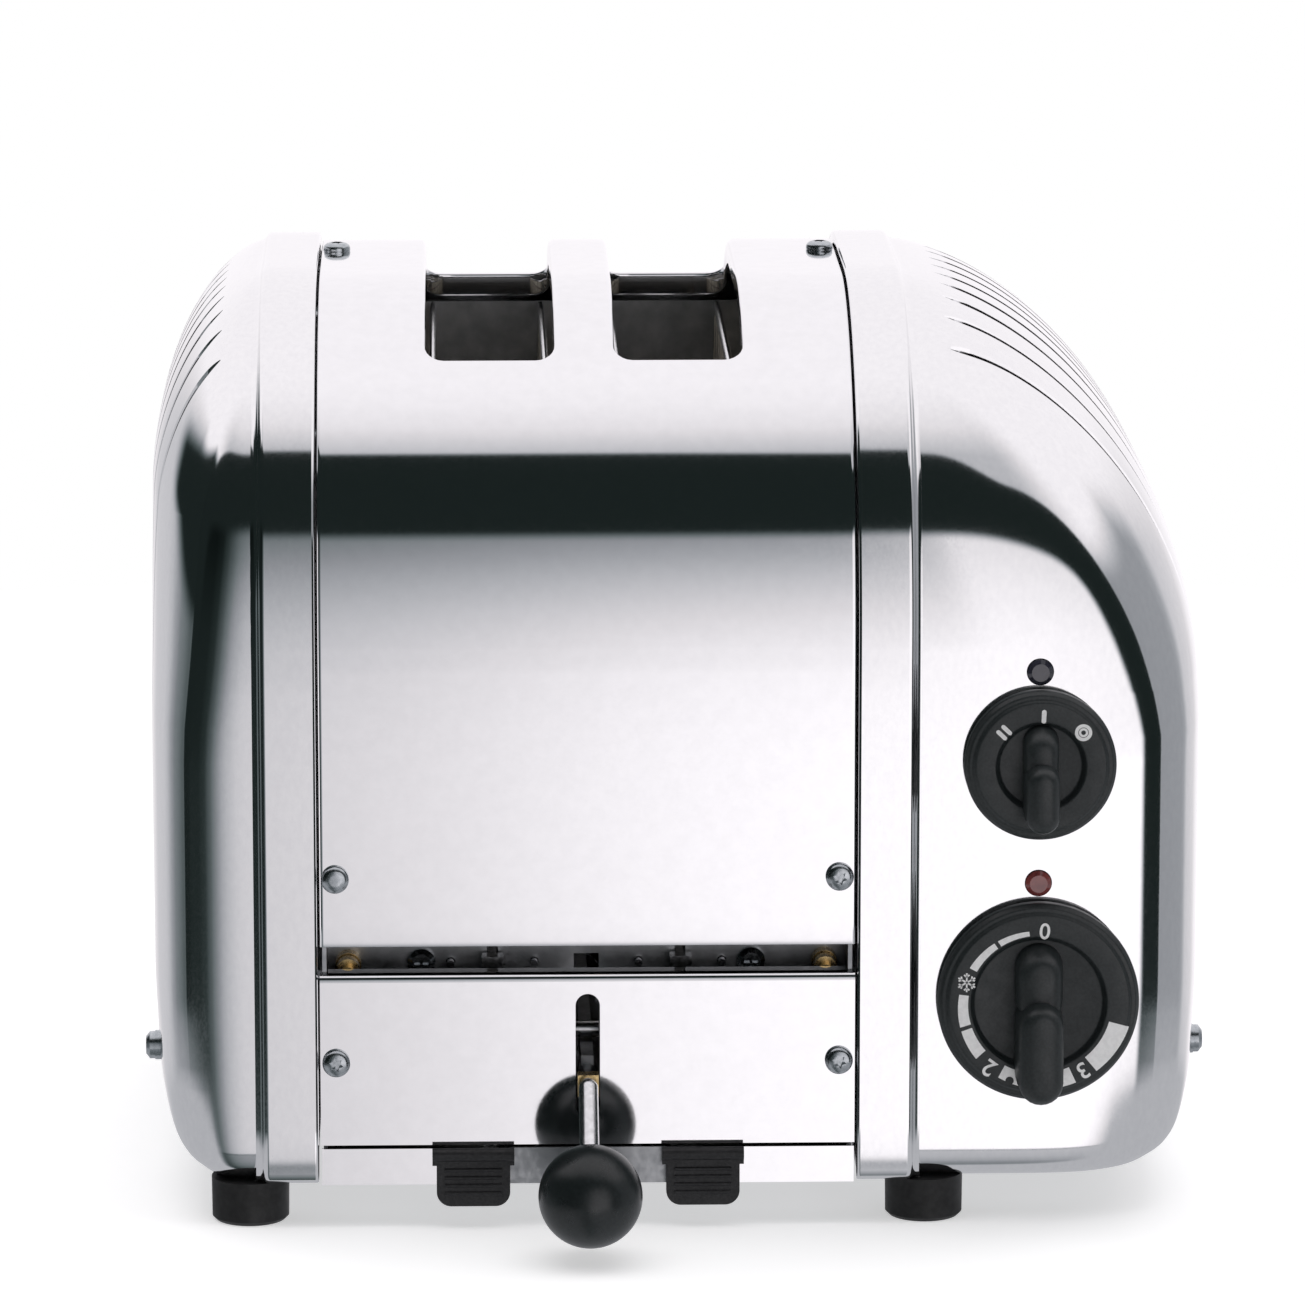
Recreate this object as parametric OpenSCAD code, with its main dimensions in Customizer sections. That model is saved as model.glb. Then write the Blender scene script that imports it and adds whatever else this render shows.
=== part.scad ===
// Two-slot toaster with a hand-lifted bread carriage, a clockwork timer and two crumb trays.
// X runs along the front panel, Y goes from the front to the back, Z is up. Millimetres.

/* [Body] */
// Height of the raised bands above the feet bottoms
body_h = 220; // [180:1:270]
// Depth over the raised bands
body_d = 210; // [180:1:250]
// Width of the front panels between the two end castings
panel_w = 127.2; // [120:0.1:160]
// Radius of the long shoulders at the top front and top back
shoulder_r = 80; // [60:1:90]
// Thickness of the pressed sheet panels
sheet = 1.0; // [0.8:0.1:1.6]
// How far the bands stand proud of the sheet panels
band_step = 2.0; // [1:0.1:3]
// Width of each raised band
band_w = 11.5; // [8:0.1:16]
// Height of the underside of the body above the feet bottoms
underside_z = 10.5; // [9:0.5:16]

/* [End castings] */
// Wall thickness of the end castings
cast_t = 3.0; // [2.5:0.1:5]
// Length of the plain left end beyond its band
left_len = 28.9; // [26:0.1:45]
// Length of the control end beyond its band
right_len = 72.8; // [70:0.1:100]
// Squareness of the control end's plan outline
right_plan_n = 7; // [4:0.5:10]
// Squareness of the plain end's plan outline
left_plan_n = 5; // [3:0.5:8]
// Squareness of both plan outlines at the very top
top_plan_n = 2.4; // [2:0.1:4]
// Height over which the control end's dome falls away
right_dome_h = 90; // [60:1:110]
// Height over which the plain end's dome falls away
left_dome_h = 48; // [30:1:80]
// Roundness exponent of the dome outlines
dome_n = 1.75; // [1.5:0.05:2.5]
// Number of cooling slits in each dome
vent_count = 12; // [4:2:14]
// Width of a cooling slit
vent_w = 1.5; // [1:0.1:3]
// Spacing of the cooling slits
vent_pitch = 12; // [6:0.5:12.5]
// Distance from the band to the start of the slits
vent_start = 11; // [6:0.5:15]
// Height of the lower ends of the slits
vent_low = 88; // [60:1:120]

/* [Bread slots] */
// Width of each bread slot
slot_w = 30.6; // [25:0.1:37]
// Length of each bread slot
slot_len = 138; // [120:1:150]
// Distance of each slot's centre from the middle
slot_x = 22.5; // [20:0.1:30]
// Depth of the turned-down lip around a slot
lip_h = 6; // [3:0.5:10]

/* [Front gap and panels] */
// Height of the top edge of the lower panels
low_panel_top = 61.6; // [55:0.1:64]
// Height of the bottom edge of the lower panels
low_panel_bottom = 19.8; // [19.6:0.1:24]
// Height of the bottom edge of the wrap-over cover
cover_bottom = 68.4; // [66:0.1:76]

/* [Heaters and guards] */
// Distance of the outer heater cards from the middle
card_x = 45; // [43:0.5:50]
// Thickness of a heater card
card_t = 1.0; // [0.6:0.1:1.5]
// Height of the bottom edge of the cards
card_bottom = 66; // [62:1:75]
// Height of the top edge of the cards
card_top = 194; // [150:1:196]
// Number of ribbon turns on each card
ribbon_turns = 10; // [6:1:12]
// Wire radius of the bread guards
guard_r = 0.9; // [0.7:0.1:1.2]
// Number of upright wires in each guard
guard_wires = 10; // [6:1:12]

/* [Lever and carriage] */
// Distance of the lever pivot behind the middle
pivot_y = 70; // [60:1:74]
// Height of the lever pivot
pivot_z = 36; // [33:0.5:40]
// Lift angle of the eject lever
lever_lift = 5.8; // [4:0.1:6]
// Height of the eject lever's arm
arm_h = 7; // [6:0.5:9]
// Radius of the bar that the lever lifts
bar_r = 2; // [1.5:0.1:2.5]
// Radius of the pivot rod
pivot_r = 3; // [2:0.1:4]
// Radial running clearance of the pivot
pivot_gap = 0.05; // [0.02:0.01:0.1]
// Diameter of the ball on the lever
ball_d = 24.5; // [18:0.5:30]
// Diameter of the sloping lever rod
lever_rod_d = 4.6; // [3:0.1:5]
// Distance of the carriage bar in front of the middle
bar_y = 78; // [76.5:0.1:79.5]

/* [Controls] */
// Distance of both knob axes from the middle of the front panel
knob_x = 107; // [100:0.5:112]
// Height of the selector knob axis
selector_z = 112.3; // [105:0.1:120]
// Height of the timer knob axis
timer_z = 54.9; // [50:0.1:60]
// Diameter of the selector knob
selector_d = 36; // [28:0.5:40]
// Diameter of the timer knob
timer_d = 48; // [38:0.5:52]
// Radius of both control shafts
shaft_r = 3; // [2.5:0.1:4]
// Radial running clearance of the control shafts
shaft_gap = 0.05; // [0.02:0.01:0.1]
// Height of the upper lamp
upper_lamp_z = 134.1; // [130:0.1:145]
// Height of the red lamp
lower_lamp_z = 83; // [80:0.1:90]
// Radius of both lamp lenses
lamp_r = 3.1; // [2:0.1:5]

/* [Base, trays and feet] */
// Thickness of the base plates
base_t = 1.0; // [0.8:0.1:2]
// Inner edge of each crumb tray from the middle
tray_in = 19; // [15:0.5:22]
// Height of the tray front lip
tray_lip_top = 19.3; // [18:0.1:19.4]
// Foot radius
foot_r = 9.2; // [7:0.1:12]
// Distance of the feet from the middle, left and right
foot_x = 80.7; // [78:0.1:90]
// Distance of the feet from the middle, front and back
foot_y = 94.5; // [85:0.5:96]
// Bore radius of the cable gland
gland_bore_r = 4; // [3:0.1:5]

/* [Hidden] */
$fn = 96;
x_shift = -(right_len - left_len) / 2;
half_d = body_d / 2;
skin_y = half_d - band_step;
skin_top = body_h - band_step;
half_w = panel_w / 2;
band_in = half_w + 0.5;
band_out = band_in + band_w;
ball_r = ball_d / 2;
ball_y = -skin_y - 33;
ball_z = 15.9;
y_shift = (ball_r - ball_y - half_d) / 2;
plate_x = half_w - 1.6;
frame_y = skin_y - 19;
heat_y = frame_y - 12;
arch_z = body_h - shoulder_r;
left_end = band_out + left_len;
right_end = band_out + right_len;
stud_z = pivot_z - 0.4;
arm_t = 3;
arm_top = pivot_z + arm_h / 2;
bar_z = arm_top + 0.35 + bar_r;
carriage_lift = (pivot_y + bar_y) * sin(lever_lift);
rack_top = 61;
guard_low_x = 10;
guard_high_x = slot_w / 2 - 1.5;
guard_low_z = bar_z + bar_r + carriage_lift + guard_r + 0.45;
guard_high_z = card_top + 1;
screw_x = half_w - 3.8;
screw_hi_z = 84.9;
screw_lo_z = 40.1;
screw_top_y = 12;
tray_out = plate_x - 0.5;
tray_floor = underside_z + base_t + 0.3;
tray_wall_top = tray_lip_top - 0.3;
pillar_z = 60.2;
side_screw_y = 60;
side_screw_z = 34;
side_seat = 1.6;
wall_gap = 0.6;
plan_z = body_h - 100;
rod_angle = atan2(stud_z - ball_z, -ball_y - skin_y - 8.3);
gland_x = knob_x;
gland_z = 40;
steel = [0.80, 0.80, 0.82];
zinc = [0.62, 0.64, 0.66];
black = [0.06, 0.06, 0.07];
brass = [0.72, 0.56, 0.27];
mica = [0.66, 0.62, 0.54];

// ---------- helpers ----------
module placed() translate([x_shift, y_shift, 0]) children();

module ycyl(x, z, y0, y1, r) translate([x, y1, z]) rotate([90, 0, 0]) cylinder(h = y1 - y0, r = r);

module xcyl(y, z, x0, x1, r) translate([x0, y, z]) rotate([0, 90, 0]) cylinder(h = x1 - x0, r = r);

module box(x0, x1, y0, y1, z0, z1) translate([x0, y0, z0]) cube([x1 - x0, y1 - y0, z1 - z0]);

// Arch outline in the depth-height plane: upright sides, two shoulders and a flat top.
module arch2d(hd, top, r, z0) {
  intersection() {
    union() {
      translate([-hd, z0]) square([2 * hd, max(1, top - r - z0)]);
      translate([-(hd - r), top - r]) circle(r);
      translate([hd - r, top - r]) circle(r);
      translate([-(hd - r), top - r]) square([2 * (hd - r), r]);
    }
    translate([-hd, z0]) square([2 * hd, top - z0]);
  }
}

module arch(x0, x1, hd, top, r, z0) {
  translate([x0, 0, 0]) rotate([90, 0, 90]) linear_extrude(x1 - x0) arch2d(hd, top, r, z0);
}

// Arch inset by a distance from the pressed skin's outer face.
module skin_arch(x0, x1, inset, z0) {
  arch(x0, x1, skin_y - inset, skin_top - inset, shoulder_r - band_step - inset, z0);
}

module slot_prism(cx, grow, z0, z1) {
  w = slot_w / 2 + grow;
  l = slot_len / 2 + grow;
  r = 4.4 + grow;
  translate([cx, 0, z0]) linear_extrude(z1 - z0) {
    square([2 * (w - r), 2 * l], center = true);
    square([2 * w, 2 * (l - r)], center = true);
    for (sx = [-1, 1], sy = [-1, 1]) translate([sx * (w - r), sy * (l - r)]) circle(r);
  }
}

// Pan-head screw whose head sits on a face and points along a direction.
module pan_screw(shank) {
  difference() {
    union() {
      cylinder(h = 1.3, r = 3.35);
      translate([0, 0, 1.3]) cylinder(h = 0.9, r1 = 3.35, r2 = 2.2);
      translate([0, 0, -shank]) cylinder(h = shank + 0.1, r = 1.6);
    }
    translate([-1.7, -0.35, 1.0]) cube([3.4, 0.7, 2]);
    translate([-0.35, -1.7, 1.0]) cube([0.7, 3.4, 2]);
  }
}

// The same screw on a thick washer.
module washer_screw() {
  cylinder(h = 1.5, r = 3.6);
  translate([0, 0, 1.5]) pan_screw(9);
}

module front_screw(x, z, y, shank) translate([x, y, z]) rotate([90, 0, 0]) pan_screw(shank);

module rear_screw(x, z, y, shank) translate([x, y, z]) rotate([-90, 0, 0]) pan_screw(shank);

// ---------- outer shell ----------
module lips() {
  for (s = [-1, 1]) intersection() {
    difference() {
      slot_prism(s * slot_x, sheet, 150, body_h);
      slot_prism(s * slot_x, 0, 140, body_h + 5);
    }
    difference() {
      skin_arch(-half_w, half_w, 0.2, 100);
      translate([0, 0, -lip_h]) skin_arch(-half_w - 1, half_w + 1, 0.2, 60);
    }
  }
}

module upper_cover() placed() color(steel) {
  difference() {
    skin_arch(-half_w, half_w, 0, cover_bottom);
    skin_arch(-half_w - 1, half_w + 1, sheet, cover_bottom - 5);
    for (s = [-1, 1]) slot_prism(s * slot_x, 0, 140, body_h + 5);
    for (s = [-1, 1]) {
      ycyl(s * screw_x, screw_hi_z, -half_d - 2, half_d + 2, 1.6);
      translate([s * screw_x, screw_top_y, skin_top - 5]) cylinder(h = 10, r = 1.6);
    }
  }
  lips();
}

module lower_panel(sy) {
  difference() {
    union() {
      box(-half_w, half_w, -skin_y, -skin_y + sheet, low_panel_bottom, low_panel_top - 2);
      difference() {
        xcyl(-skin_y + 2, low_panel_top - 2, -half_w, half_w, 2);
        xcyl(-skin_y + 2, low_panel_top - 2, -half_w - 1, half_w + 1, 2 - sheet);
        box(-half_w - 1, half_w + 1, -skin_y, -skin_y + 5, low_panel_top - 5, low_panel_top - 2);
        box(-half_w - 1, half_w + 1, -skin_y + 2, -skin_y + 5, low_panel_top - 5, low_panel_top + 1);
      }
      box(-plate_x + 0.3, plate_x - 0.3, -skin_y + 2, -skin_y + 6, low_panel_top - sheet, low_panel_top);
    }
    for (s = [-1, 1]) ycyl(s * screw_x, screw_lo_z, -half_d - 2, -half_d + 12, 1.6);
    if (sy < 0) {
      box(-2.9, 2.9, -skin_y - 1, -skin_y + 3, 29.4, 53.7);
      ycyl(0, 29.4, -skin_y - 1, -skin_y + 3, 2.9);
      ycyl(0, 53.7, -skin_y - 1, -skin_y + 3, 2.9);
    }
  }
}

module front_lower_panel() placed() color(steel) lower_panel(-1);

module rear_lower_panel() placed() color(steel) mirror([0, 1, 0]) lower_panel(1);

// Dome outline in the width-height plane at angle t, from the band at 0 to the side at 90.
function dome_x(t, x0, xe) = x0 + (xe - x0) * pow(sin(t), 2 / dome_n);
function dome_z(t, top, b) = top - b + b * pow(cos(t), 2 / dome_n);
function arch_half(z, hd, top, r) =
  z <= top - r ? hd : hd - r + sqrt(max(0, r * r - pow(z - top + r, 2)));

// Squareness of the plan outline at a height: boxy low down, round at the top.
function plan_n(z, low) = z <= plan_z ? low :
  low * pow(top_plan_n / low, pow((z - plan_z) / (skin_top - plan_z), 0.75));

// Plan outline from the band's front, round the end and back to the band's rear.
function ring(x_in, x0, xs, z, hd, n, seg) = let(
  ax = max(0.05, xs - x0),
  half = [for (i = [0:seg]) [x0 + ax * pow(sin(90 * i / seg), 2 / n), -hd * pow(cos(90 * i / seg), 2 / n)]]
) concat(
  [[x_in, -hd, z]],
  [for (i = [0:seg]) [half[i][0], i == seg ? 0 : half[i][1], z]],
  [for (i = [seg - 1:-1:0]) [half[i][0], -half[i][1], z]],
  [[x_in, hd, z]]
);

// Rounded bottom edge: height above the underside, inset at the side, inset at the front and back.
low_steps = [[0, 14, 5], [1, 11, 3], [2.3, 9, 1.7], [4.5, 6.2, 0.4], [8, 4, 0], [13.7, 2.4, 0],
  [23, 1.0, 0], [33, 0.5, 0], [45, 0, 0]];

module dome_solid(x_in, xe, b, low_n, inset, z_low) {
  x0 = band_out + 1;
  top = skin_top - inset;
  hd = skin_y - inset;
  r = shoulder_r - band_step - inset;
  seg = 10;
  steps = 14;
  n = 2 * seg + 3;
  low = [for (s = low_steps) ring(x_in, x0, xe - inset - s[1], (s[0] == 0 ? z_low : underside_z + s[0]),
    hd - s[2], low_n, seg)];
  high = [for (i = [0:steps]) let(t = 90 - 89.2 * i / steps, z = dome_z(t, top, b))
    ring(x_in, x0, dome_x(t, x0, xe - inset), z, arch_half(z, hd, top, r), plan_n(z + inset, low_n), seg)];
  rings = concat(low, high);
  m = len(rings);
  pts = [for (q = rings) for (p = q) p];
  sides = [for (i = [0:m - 2], j = [0:n - 1]) let(
      a = i * n + j, c = (i + 1) * n + (j + 1) % n, d = (i + 1) * n + j, e = i * n + (j + 1) % n)
    for (f = [[a, d, c], [a, c, e]]) f];
  bottom = [for (j = [0:n - 1]) j];
  cap = [for (j = [n - 1:-1:0]) (m - 1) * n + j];
  polyhedron(points = pts, faces = concat([bottom], sides, [cap]), convexity = 6);
}

module vents(xe) {
  for (i = [0:vent_count - 1]) {
    y = (i - (vent_count - 1) / 2) * vent_pitch;
    box(band_out + vent_start, xe + 5, y - vent_w / 2, y + vent_w / 2, vent_low, body_h + 5);
  }
}

module end_casting(xe, b, low_n) {
  difference() {
    union() {
      difference() {
        arch(band_in, band_out, half_d, body_h, shoulder_r, underside_z);
        arch(band_in - 1, band_out + 1, half_d - cast_t - 1.5, body_h - cast_t - 1.5,
          shoulder_r - cast_t - 1.5, underside_z - 5);
      }
      difference() {
        dome_solid(band_out - 4, xe, b, low_n, 0, underside_z);
        dome_solid(band_out - 5, xe, b, low_n, cast_t, underside_z - 1);
      }
    }
    vents(xe);
    for (sy = [-1, 1]) {
      xcyl(sy * side_screw_y, side_screw_z, xe - 12, xe + 5, 1.6);
      xcyl(sy * side_screw_y, side_screw_z, xe - side_seat, xe + 5, 3.8);
      translate([foot_x, sy * foot_y, underside_z - 1]) cylinder(h = 7, r = 2.05);
    }
  }
}

module left_end_casting() placed() color(steel) mirror([1, 0, 0]) 
  end_casting(left_end, left_dome_h, left_plan_n);

module right_end_casting() placed() color(steel) difference() {
  end_casting(right_end, right_dome_h, right_plan_n);
  ycyl(knob_x, selector_z, -half_d - 5, -half_d + 20, shaft_r + 0.6);
  ycyl(knob_x, timer_z, -half_d - 5, -half_d + 20, shaft_r + 0.6);
  ycyl(knob_x, upper_lamp_z, -half_d - 5, -half_d + 20, lamp_r);
  ycyl(knob_x, lower_lamp_z, -half_d - 5, -half_d + 20, lamp_r);
  ycyl(gland_x, gland_z, half_d - 20, half_d + 5, 7);
}

// ---------- frame ----------
module side_plate() difference() {
  skin_arch(plate_x, plate_x + 1, 2.5, underside_z + base_t);
  for (sy = [-1, 0, 1]) xcyl(sy * 45, 120, plate_x - 1, plate_x + 3, 9);
  for (sy = [-1, 1]) xcyl(sy * 30, 45, plate_x - 1, plate_x + 3, 4);
}

module left_side_plate() placed() color(zinc) mirror([1, 0, 0]) side_plate();

module right_side_plate() placed() color(zinc) side_plate();

module rack_slots(y0, y1, z0) {
  for (s = [-1, 1]) box(s * slot_x - 1.3, s * slot_x + 1.3, y0, y1, z0, rack_top + carriage_lift + 1.5);
}

module guard_holes(y0, y1) {
  for (s = [-1, 1], g = [-1, 1]) ycyl(s * slot_x + g * guard_low_x, guard_low_z, y0, y1, guard_r + 0.2);
}

module frame_plate() difference() {
  box(-plate_x, plate_x, -frame_y, -frame_y + 1, 22, skin_top - 36);
  rack_slots(-frame_y - 1, -frame_y + 2, 51.5);
  guard_holes(-frame_y - 1, -frame_y + 2);
  for (s = [-1, 1]) {
    ycyl(s * 39.5, pillar_z, -frame_y - 1, -frame_y + 2, 1.6);
    ycyl(s * 57, pillar_z, -frame_y - 1, -frame_y + 2, 1.5);
  }
}

module front_frame_plate() placed() color(zinc) difference() {
  frame_plate();
  box(-3, 3, -frame_y - 1, -frame_y + 2, 26, 62);
  ycyl(-5.4, 68, -frame_y - 1, -frame_y + 2, 2.4);
}

module rear_frame_plate() placed() color(zinc) mirror([0, 1, 0]) frame_plate();

module heat_plate() difference() {
  box(-plate_x + 4, plate_x - 4, -heat_y - 1, -heat_y, 63, card_top + 2);
  rack_slots(-heat_y - 2, -heat_y + 1, 60);
  for (s = [-1, 1], k = [0:4]) box(s * slot_x - 9, s * slot_x + 9, -heat_y - 2, -heat_y + 1, 96 + 18 * k, 99 + 18 * k);
}

module front_heat_plate() placed() color(zinc) heat_plate();

module rear_heat_plate() placed() color(zinc) mirror([0, 1, 0]) heat_plate();

module base_plate() placed() color(zinc) {
  box(-plate_x - 1, plate_x + 1, -skin_y + 1, skin_y - 1, underside_z, underside_z + base_t);
  box(-tray_in + 0.3, tray_in - 0.3, -skin_y - 1.1, -skin_y + 1.5, underside_z, underside_z + base_t);
  box(-tray_in + 0.3, tray_in - 0.3, -skin_y - 1.1, -skin_y - 0.5, underside_z, tray_lip_top);
  box(-half_w, half_w, skin_y - 1, skin_y, underside_z, low_panel_bottom - 0.2);
}

// Bottom closing plate that follows the inside of an end casting's lower edge.
module bottom_plate(xe, low_n) {
  gap = cast_t + 0.3;
  edge = low_steps[0];
  outline = ring(band_in + 0.5, band_out + 1, xe - gap - edge[1], 0, skin_y - gap - edge[2], low_n, 16);
  difference() {
    translate([0, 0, underside_z]) linear_extrude(2) polygon([for (p = outline) [p[0], p[1]]]);
    for (sy = [-1, 1]) translate([foot_x, sy * foot_y, 0]) cylinder(h = 30, r = 2);
  }
}

module left_bottom_plate() placed() color(zinc) mirror([1, 0, 0]) bottom_plate(left_end, left_plan_n);

module right_bottom_plate() placed() color(zinc) bottom_plate(right_end, right_plan_n);

module crumb_ridge() placed() color(zinc) {
  y0 = -skin_y + 22;
  y1 = skin_y - 22;
  translate([0, y1, 0]) rotate([90, 0, 0]) linear_extrude(y1 - y0) polygon([
    [0, 29], [tray_in + 2, 21.5], [tray_in + 2, 20.6], [0, 28],
    [-tray_in - 2, 20.6], [-tray_in - 2, 21.5]]);
  for (s = [-1, 1]) box(s * 12 - 0.5, s * 12 + 0.5, y0, y1, underside_z + base_t, 24.2);
}

module crumb_tray() {
  wall = 0.8;
  difference() {
    box(tray_in, tray_out, -skin_y - 0.5, skin_y - 8, tray_floor, tray_wall_top);
    box(tray_in + wall, tray_out - wall, -skin_y + 0.3, skin_y - 8 - wall, tray_floor + wall, 25);
  }
  box(tray_in, half_w - 0.2, -skin_y - 1.5, -skin_y - 0.5, underside_z, tray_lip_top);
}

module crumb_tray_left() placed() color(steel) mirror([1, 0, 0]) crumb_tray();

module crumb_tray_right() placed() color(steel) crumb_tray();

// Finger tab: a rolled top edge over a plate with a rounded lower end and four grip ribs.
module tray_tab() {
  x0 = 17.6;
  x1 = 37.1;
  y0 = -skin_y - 4.2;
  y1 = -skin_y - 1.5;
  top = tray_lip_top - 1.2;
  difference() {
    union() {
      box(x0, x1, y0 + 0.9, y1, top - 2.6, top);
      box(x0 + 1, x1 - 1, y0 + 0.9, y1, top - 9.1, top - 2.4);
      box(x0 + 4.5, x1 - 4.5, y0 + 0.9, y1, top - 12.6, top - 8.6);
      for (x = [x0 + 4.5, x1 - 4.5]) ycyl(x, top - 9.1, y0 + 0.9, y1, 3.5);
      xcyl(y1 - 1.6, top, x0, x1, 1.6);
    }
    box(x0 - 1, x1 + 1, y1, y1 + 5, 3, 30);
  }
  for (k = [0:3]) xcyl(y0 + 0.9, top - 9.4 + 1.9 * k, x0 + 3, x1 - 3, 0.45);
}

module tray_tab_left() placed() color(black) mirror([1, 0, 0]) tray_tab();

module tray_tab_right() placed() color(black) tray_tab();

// ---------- heaters and guards ----------
card_y = heat_y - 0.9;

module heater_card(cx) box(cx - card_t / 2, cx + card_t / 2, -card_y, card_y, card_bottom, card_top);

module heater_card_left() placed() color(mica) heater_card(-card_x);

module heater_card_centre() placed() color(mica) heater_card(0);

module heater_card_right() placed() color(mica) heater_card(card_x);

module heater_ribbon(cx) {
  t = card_t / 2;
  pitch = (card_top - card_bottom - 24) / (ribbon_turns - 1);
  for (k = [0:ribbon_turns - 1]) translate([0, 0, card_bottom + 12 + k * pitch]) difference() {
    box(cx - t - 0.4, cx + t + 0.4, -card_y - 0.4, card_y + 0.4, -1.1, 1.1);
    box(cx - t, cx + t, -card_y, card_y, -2, 2);
  }
}

module heater_ribbon_left() placed() color([0.45, 0.40, 0.36]) heater_ribbon(-card_x);

module heater_ribbon_centre() placed() color([0.45, 0.40, 0.36]) heater_ribbon(0);

module heater_ribbon_right() placed() color([0.45, 0.40, 0.36]) heater_ribbon(card_x);

// Wire guard that leans out from its bottom rail to its top rail.
module guard(cx, side) {
  xl = cx + side * guard_low_x;
  xh = cx + side * guard_high_x;
  dz = guard_high_z - guard_low_z;
  lean = atan2(xh - xl, dz);
  len_w = sqrt(dz * dz + (xh - xl) * (xh - xl));
  ycyl(xl, guard_low_z, -frame_y - 3, frame_y + 3, guard_r);
  ycyl(xh, guard_high_z, -card_y, card_y, guard_r);
  for (k = [0:guard_wires - 1]) {
    y = -card_y + 6 + k * (2 * card_y - 12) / (guard_wires - 1);
    translate([xl, y, guard_low_z]) rotate([0, lean, 0]) cylinder(h = len_w, r = guard_r - 0.1);
  }
}

module guard_left_outer() placed() color(steel) guard(-slot_x, -1);

module guard_left_inner() placed() color(steel) guard(-slot_x, 1);

module guard_right_inner() placed() color(steel) guard(slot_x, -1);

module guard_right_outer() placed() color(steel) guard(slot_x, 1);

// ---------- carriage and lever ----------
module bread_rack(cx) {
  box(cx - 1, cx + 1, -frame_y - 6, frame_y + 3, rack_top - 7, rack_top);
  box(cx - 2.6, cx + 2.6, -frame_y - 6, -frame_y - 1.5, rack_top - 3.2, rack_top + 1.6);
  box(cx - 1, cx + 1, -bar_y - 2.4, -bar_y + 2.4, bar_z + bar_r - 0.6, rack_top - 6);
  for (k = [0:8]) xcyl(-60 + 15 * k, rack_top, cx - 7.5, cx + 7.5, 1.3);
}

module bread_rack_left() placed() color(steel) difference() {
  bread_rack(-slot_x);
  xcyl(-bar_y, bar_z, -slot_x - 5, -slot_x + 5, bar_r);
}

module bread_rack_right() placed() color(steel) difference() {
  bread_rack(slot_x);
  xcyl(-bar_y, bar_z, slot_x - 5, slot_x + 5, bar_r);
}

module carriage_bar() placed() color(steel) xcyl(-bar_y, bar_z, -slot_x - 4, slot_x + 4, bar_r);

module lever_arm() placed() color(zinc) difference() {
  union() {
    box(-arm_t / 2, arm_t / 2, -skin_y + 8, pivot_y, pivot_z - arm_h / 2, pivot_z + arm_h / 2);
    xcyl(pivot_y, pivot_z, -5, 5, pivot_r + 3.1);
    ycyl(0, stud_z, -skin_y - 6, -skin_y + 9, 2);
  }
  xcyl(pivot_y, pivot_z, -12, 12, pivot_r + pivot_gap);
}

module lever_pivot_rod() placed() color(zinc) xcyl(pivot_y, pivot_z, -16, 16, pivot_r);

module pivot_bracket() placed() color(zinc) difference() {
  union() {
    for (s = [-1, 1]) box(s * 11 - 2, s * 11 + 2, pivot_y - 7, pivot_y + 7, 29.5, pivot_z + 7);
    box(-13, 13, pivot_y - 7, pivot_y + 7, 29.1, 29.5);
  }
  xcyl(pivot_y, pivot_z, -20, 20, pivot_r);
}

module lever_nut() placed() color(brass) difference() {
  box(-2.5, 2.5, -skin_y - 6, -skin_y - 2.2, stud_z - 2.6, stud_z + 2.6);
  ycyl(0, stud_z, -skin_y - 7, -skin_y, 2);
}

// Point where the sloping rod starts, in front of the nut.
rod_y = -skin_y - 6 - lever_rod_d / 2;
rod_run = sqrt(pow(ball_y - rod_y, 2) + pow(stud_z - ball_z, 2));
rod_tilt = atan2(rod_y - ball_y, stud_z - ball_z);

module lever_rod() placed() color(steel) translate([0, rod_y, stud_z]) {
  sphere(r = lever_rod_d / 2);
  rotate([-rod_tilt, 0, 0]) mirror([0, 0, 1]) cylinder(h = rod_run - 4, r = lever_rod_d / 2);
}

module lever_ball() placed() color(black) difference() {
  translate([0, ball_y, ball_z]) sphere(r = ball_r);
  translate([0, rod_y, stud_z]) rotate([-rod_tilt, 0, 0]) mirror([0, 0, 1])
    cylinder(h = rod_run - 4, r = lever_rod_d / 2);
}

// ---------- controls ----------
// Knob: a flat dial with a sunken hub and a grip bar whose lower part stands higher.
// up and down are the bar's reach above and below the axis, w_up and w_down are its widths.
module knob(d, hub_r, z, up, down, w_up, w_down, h_up, h_down) {
  translate([knob_x, -skin_y - 0.6, z]) rotate([90, 0, 0]) difference() {
    union() {
      rotate_extrude() polygon([[0, 0], [d / 2 - 0.6, 0], [d / 2, 0.8], [d / 2, 3.4], [d / 2 - 2.2, 5],
        [hub_r, 5], [hub_r - 0.6, 3.4], [0, 3.4]]);
      cylinder(h = 10, r = 6.5);
      translate([-w_up / 2, 0, 3]) cube([w_up, up - w_up / 2, h_up - 3]);
      translate([0, up - w_up / 2, 3]) cylinder(h = h_up - 3, r = w_up / 2);
      translate([-w_down / 2, -down + w_down / 2, 3]) cube([w_down, down - w_down / 2, h_down - 3]);
      translate([0, -down + w_down / 2, 3]) cylinder(h = h_down - 3, r = w_down / 2);
    }
    translate([0, 0, -1]) cylinder(h = 9, r = shaft_r);
  }
}

module selector_knob() placed() color(black) knob(selector_d, 10.3, selector_z, 10, 14, 7, 8.4, 9, 15);

module timer_knob() placed() color(black) knob(timer_d, 15.8, timer_z, 14, 22.4, 9, 10.5, 9.5, 17);

module control_shaft(z, y1) ycyl(knob_x, z, -skin_y - 8.6, y1, shaft_r);

module selector_shaft() placed() color(zinc) control_shaft(selector_z, -skin_y + 18);

module timer_shaft() placed() color(zinc) control_shaft(timer_z, -skin_y + 18);

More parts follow.
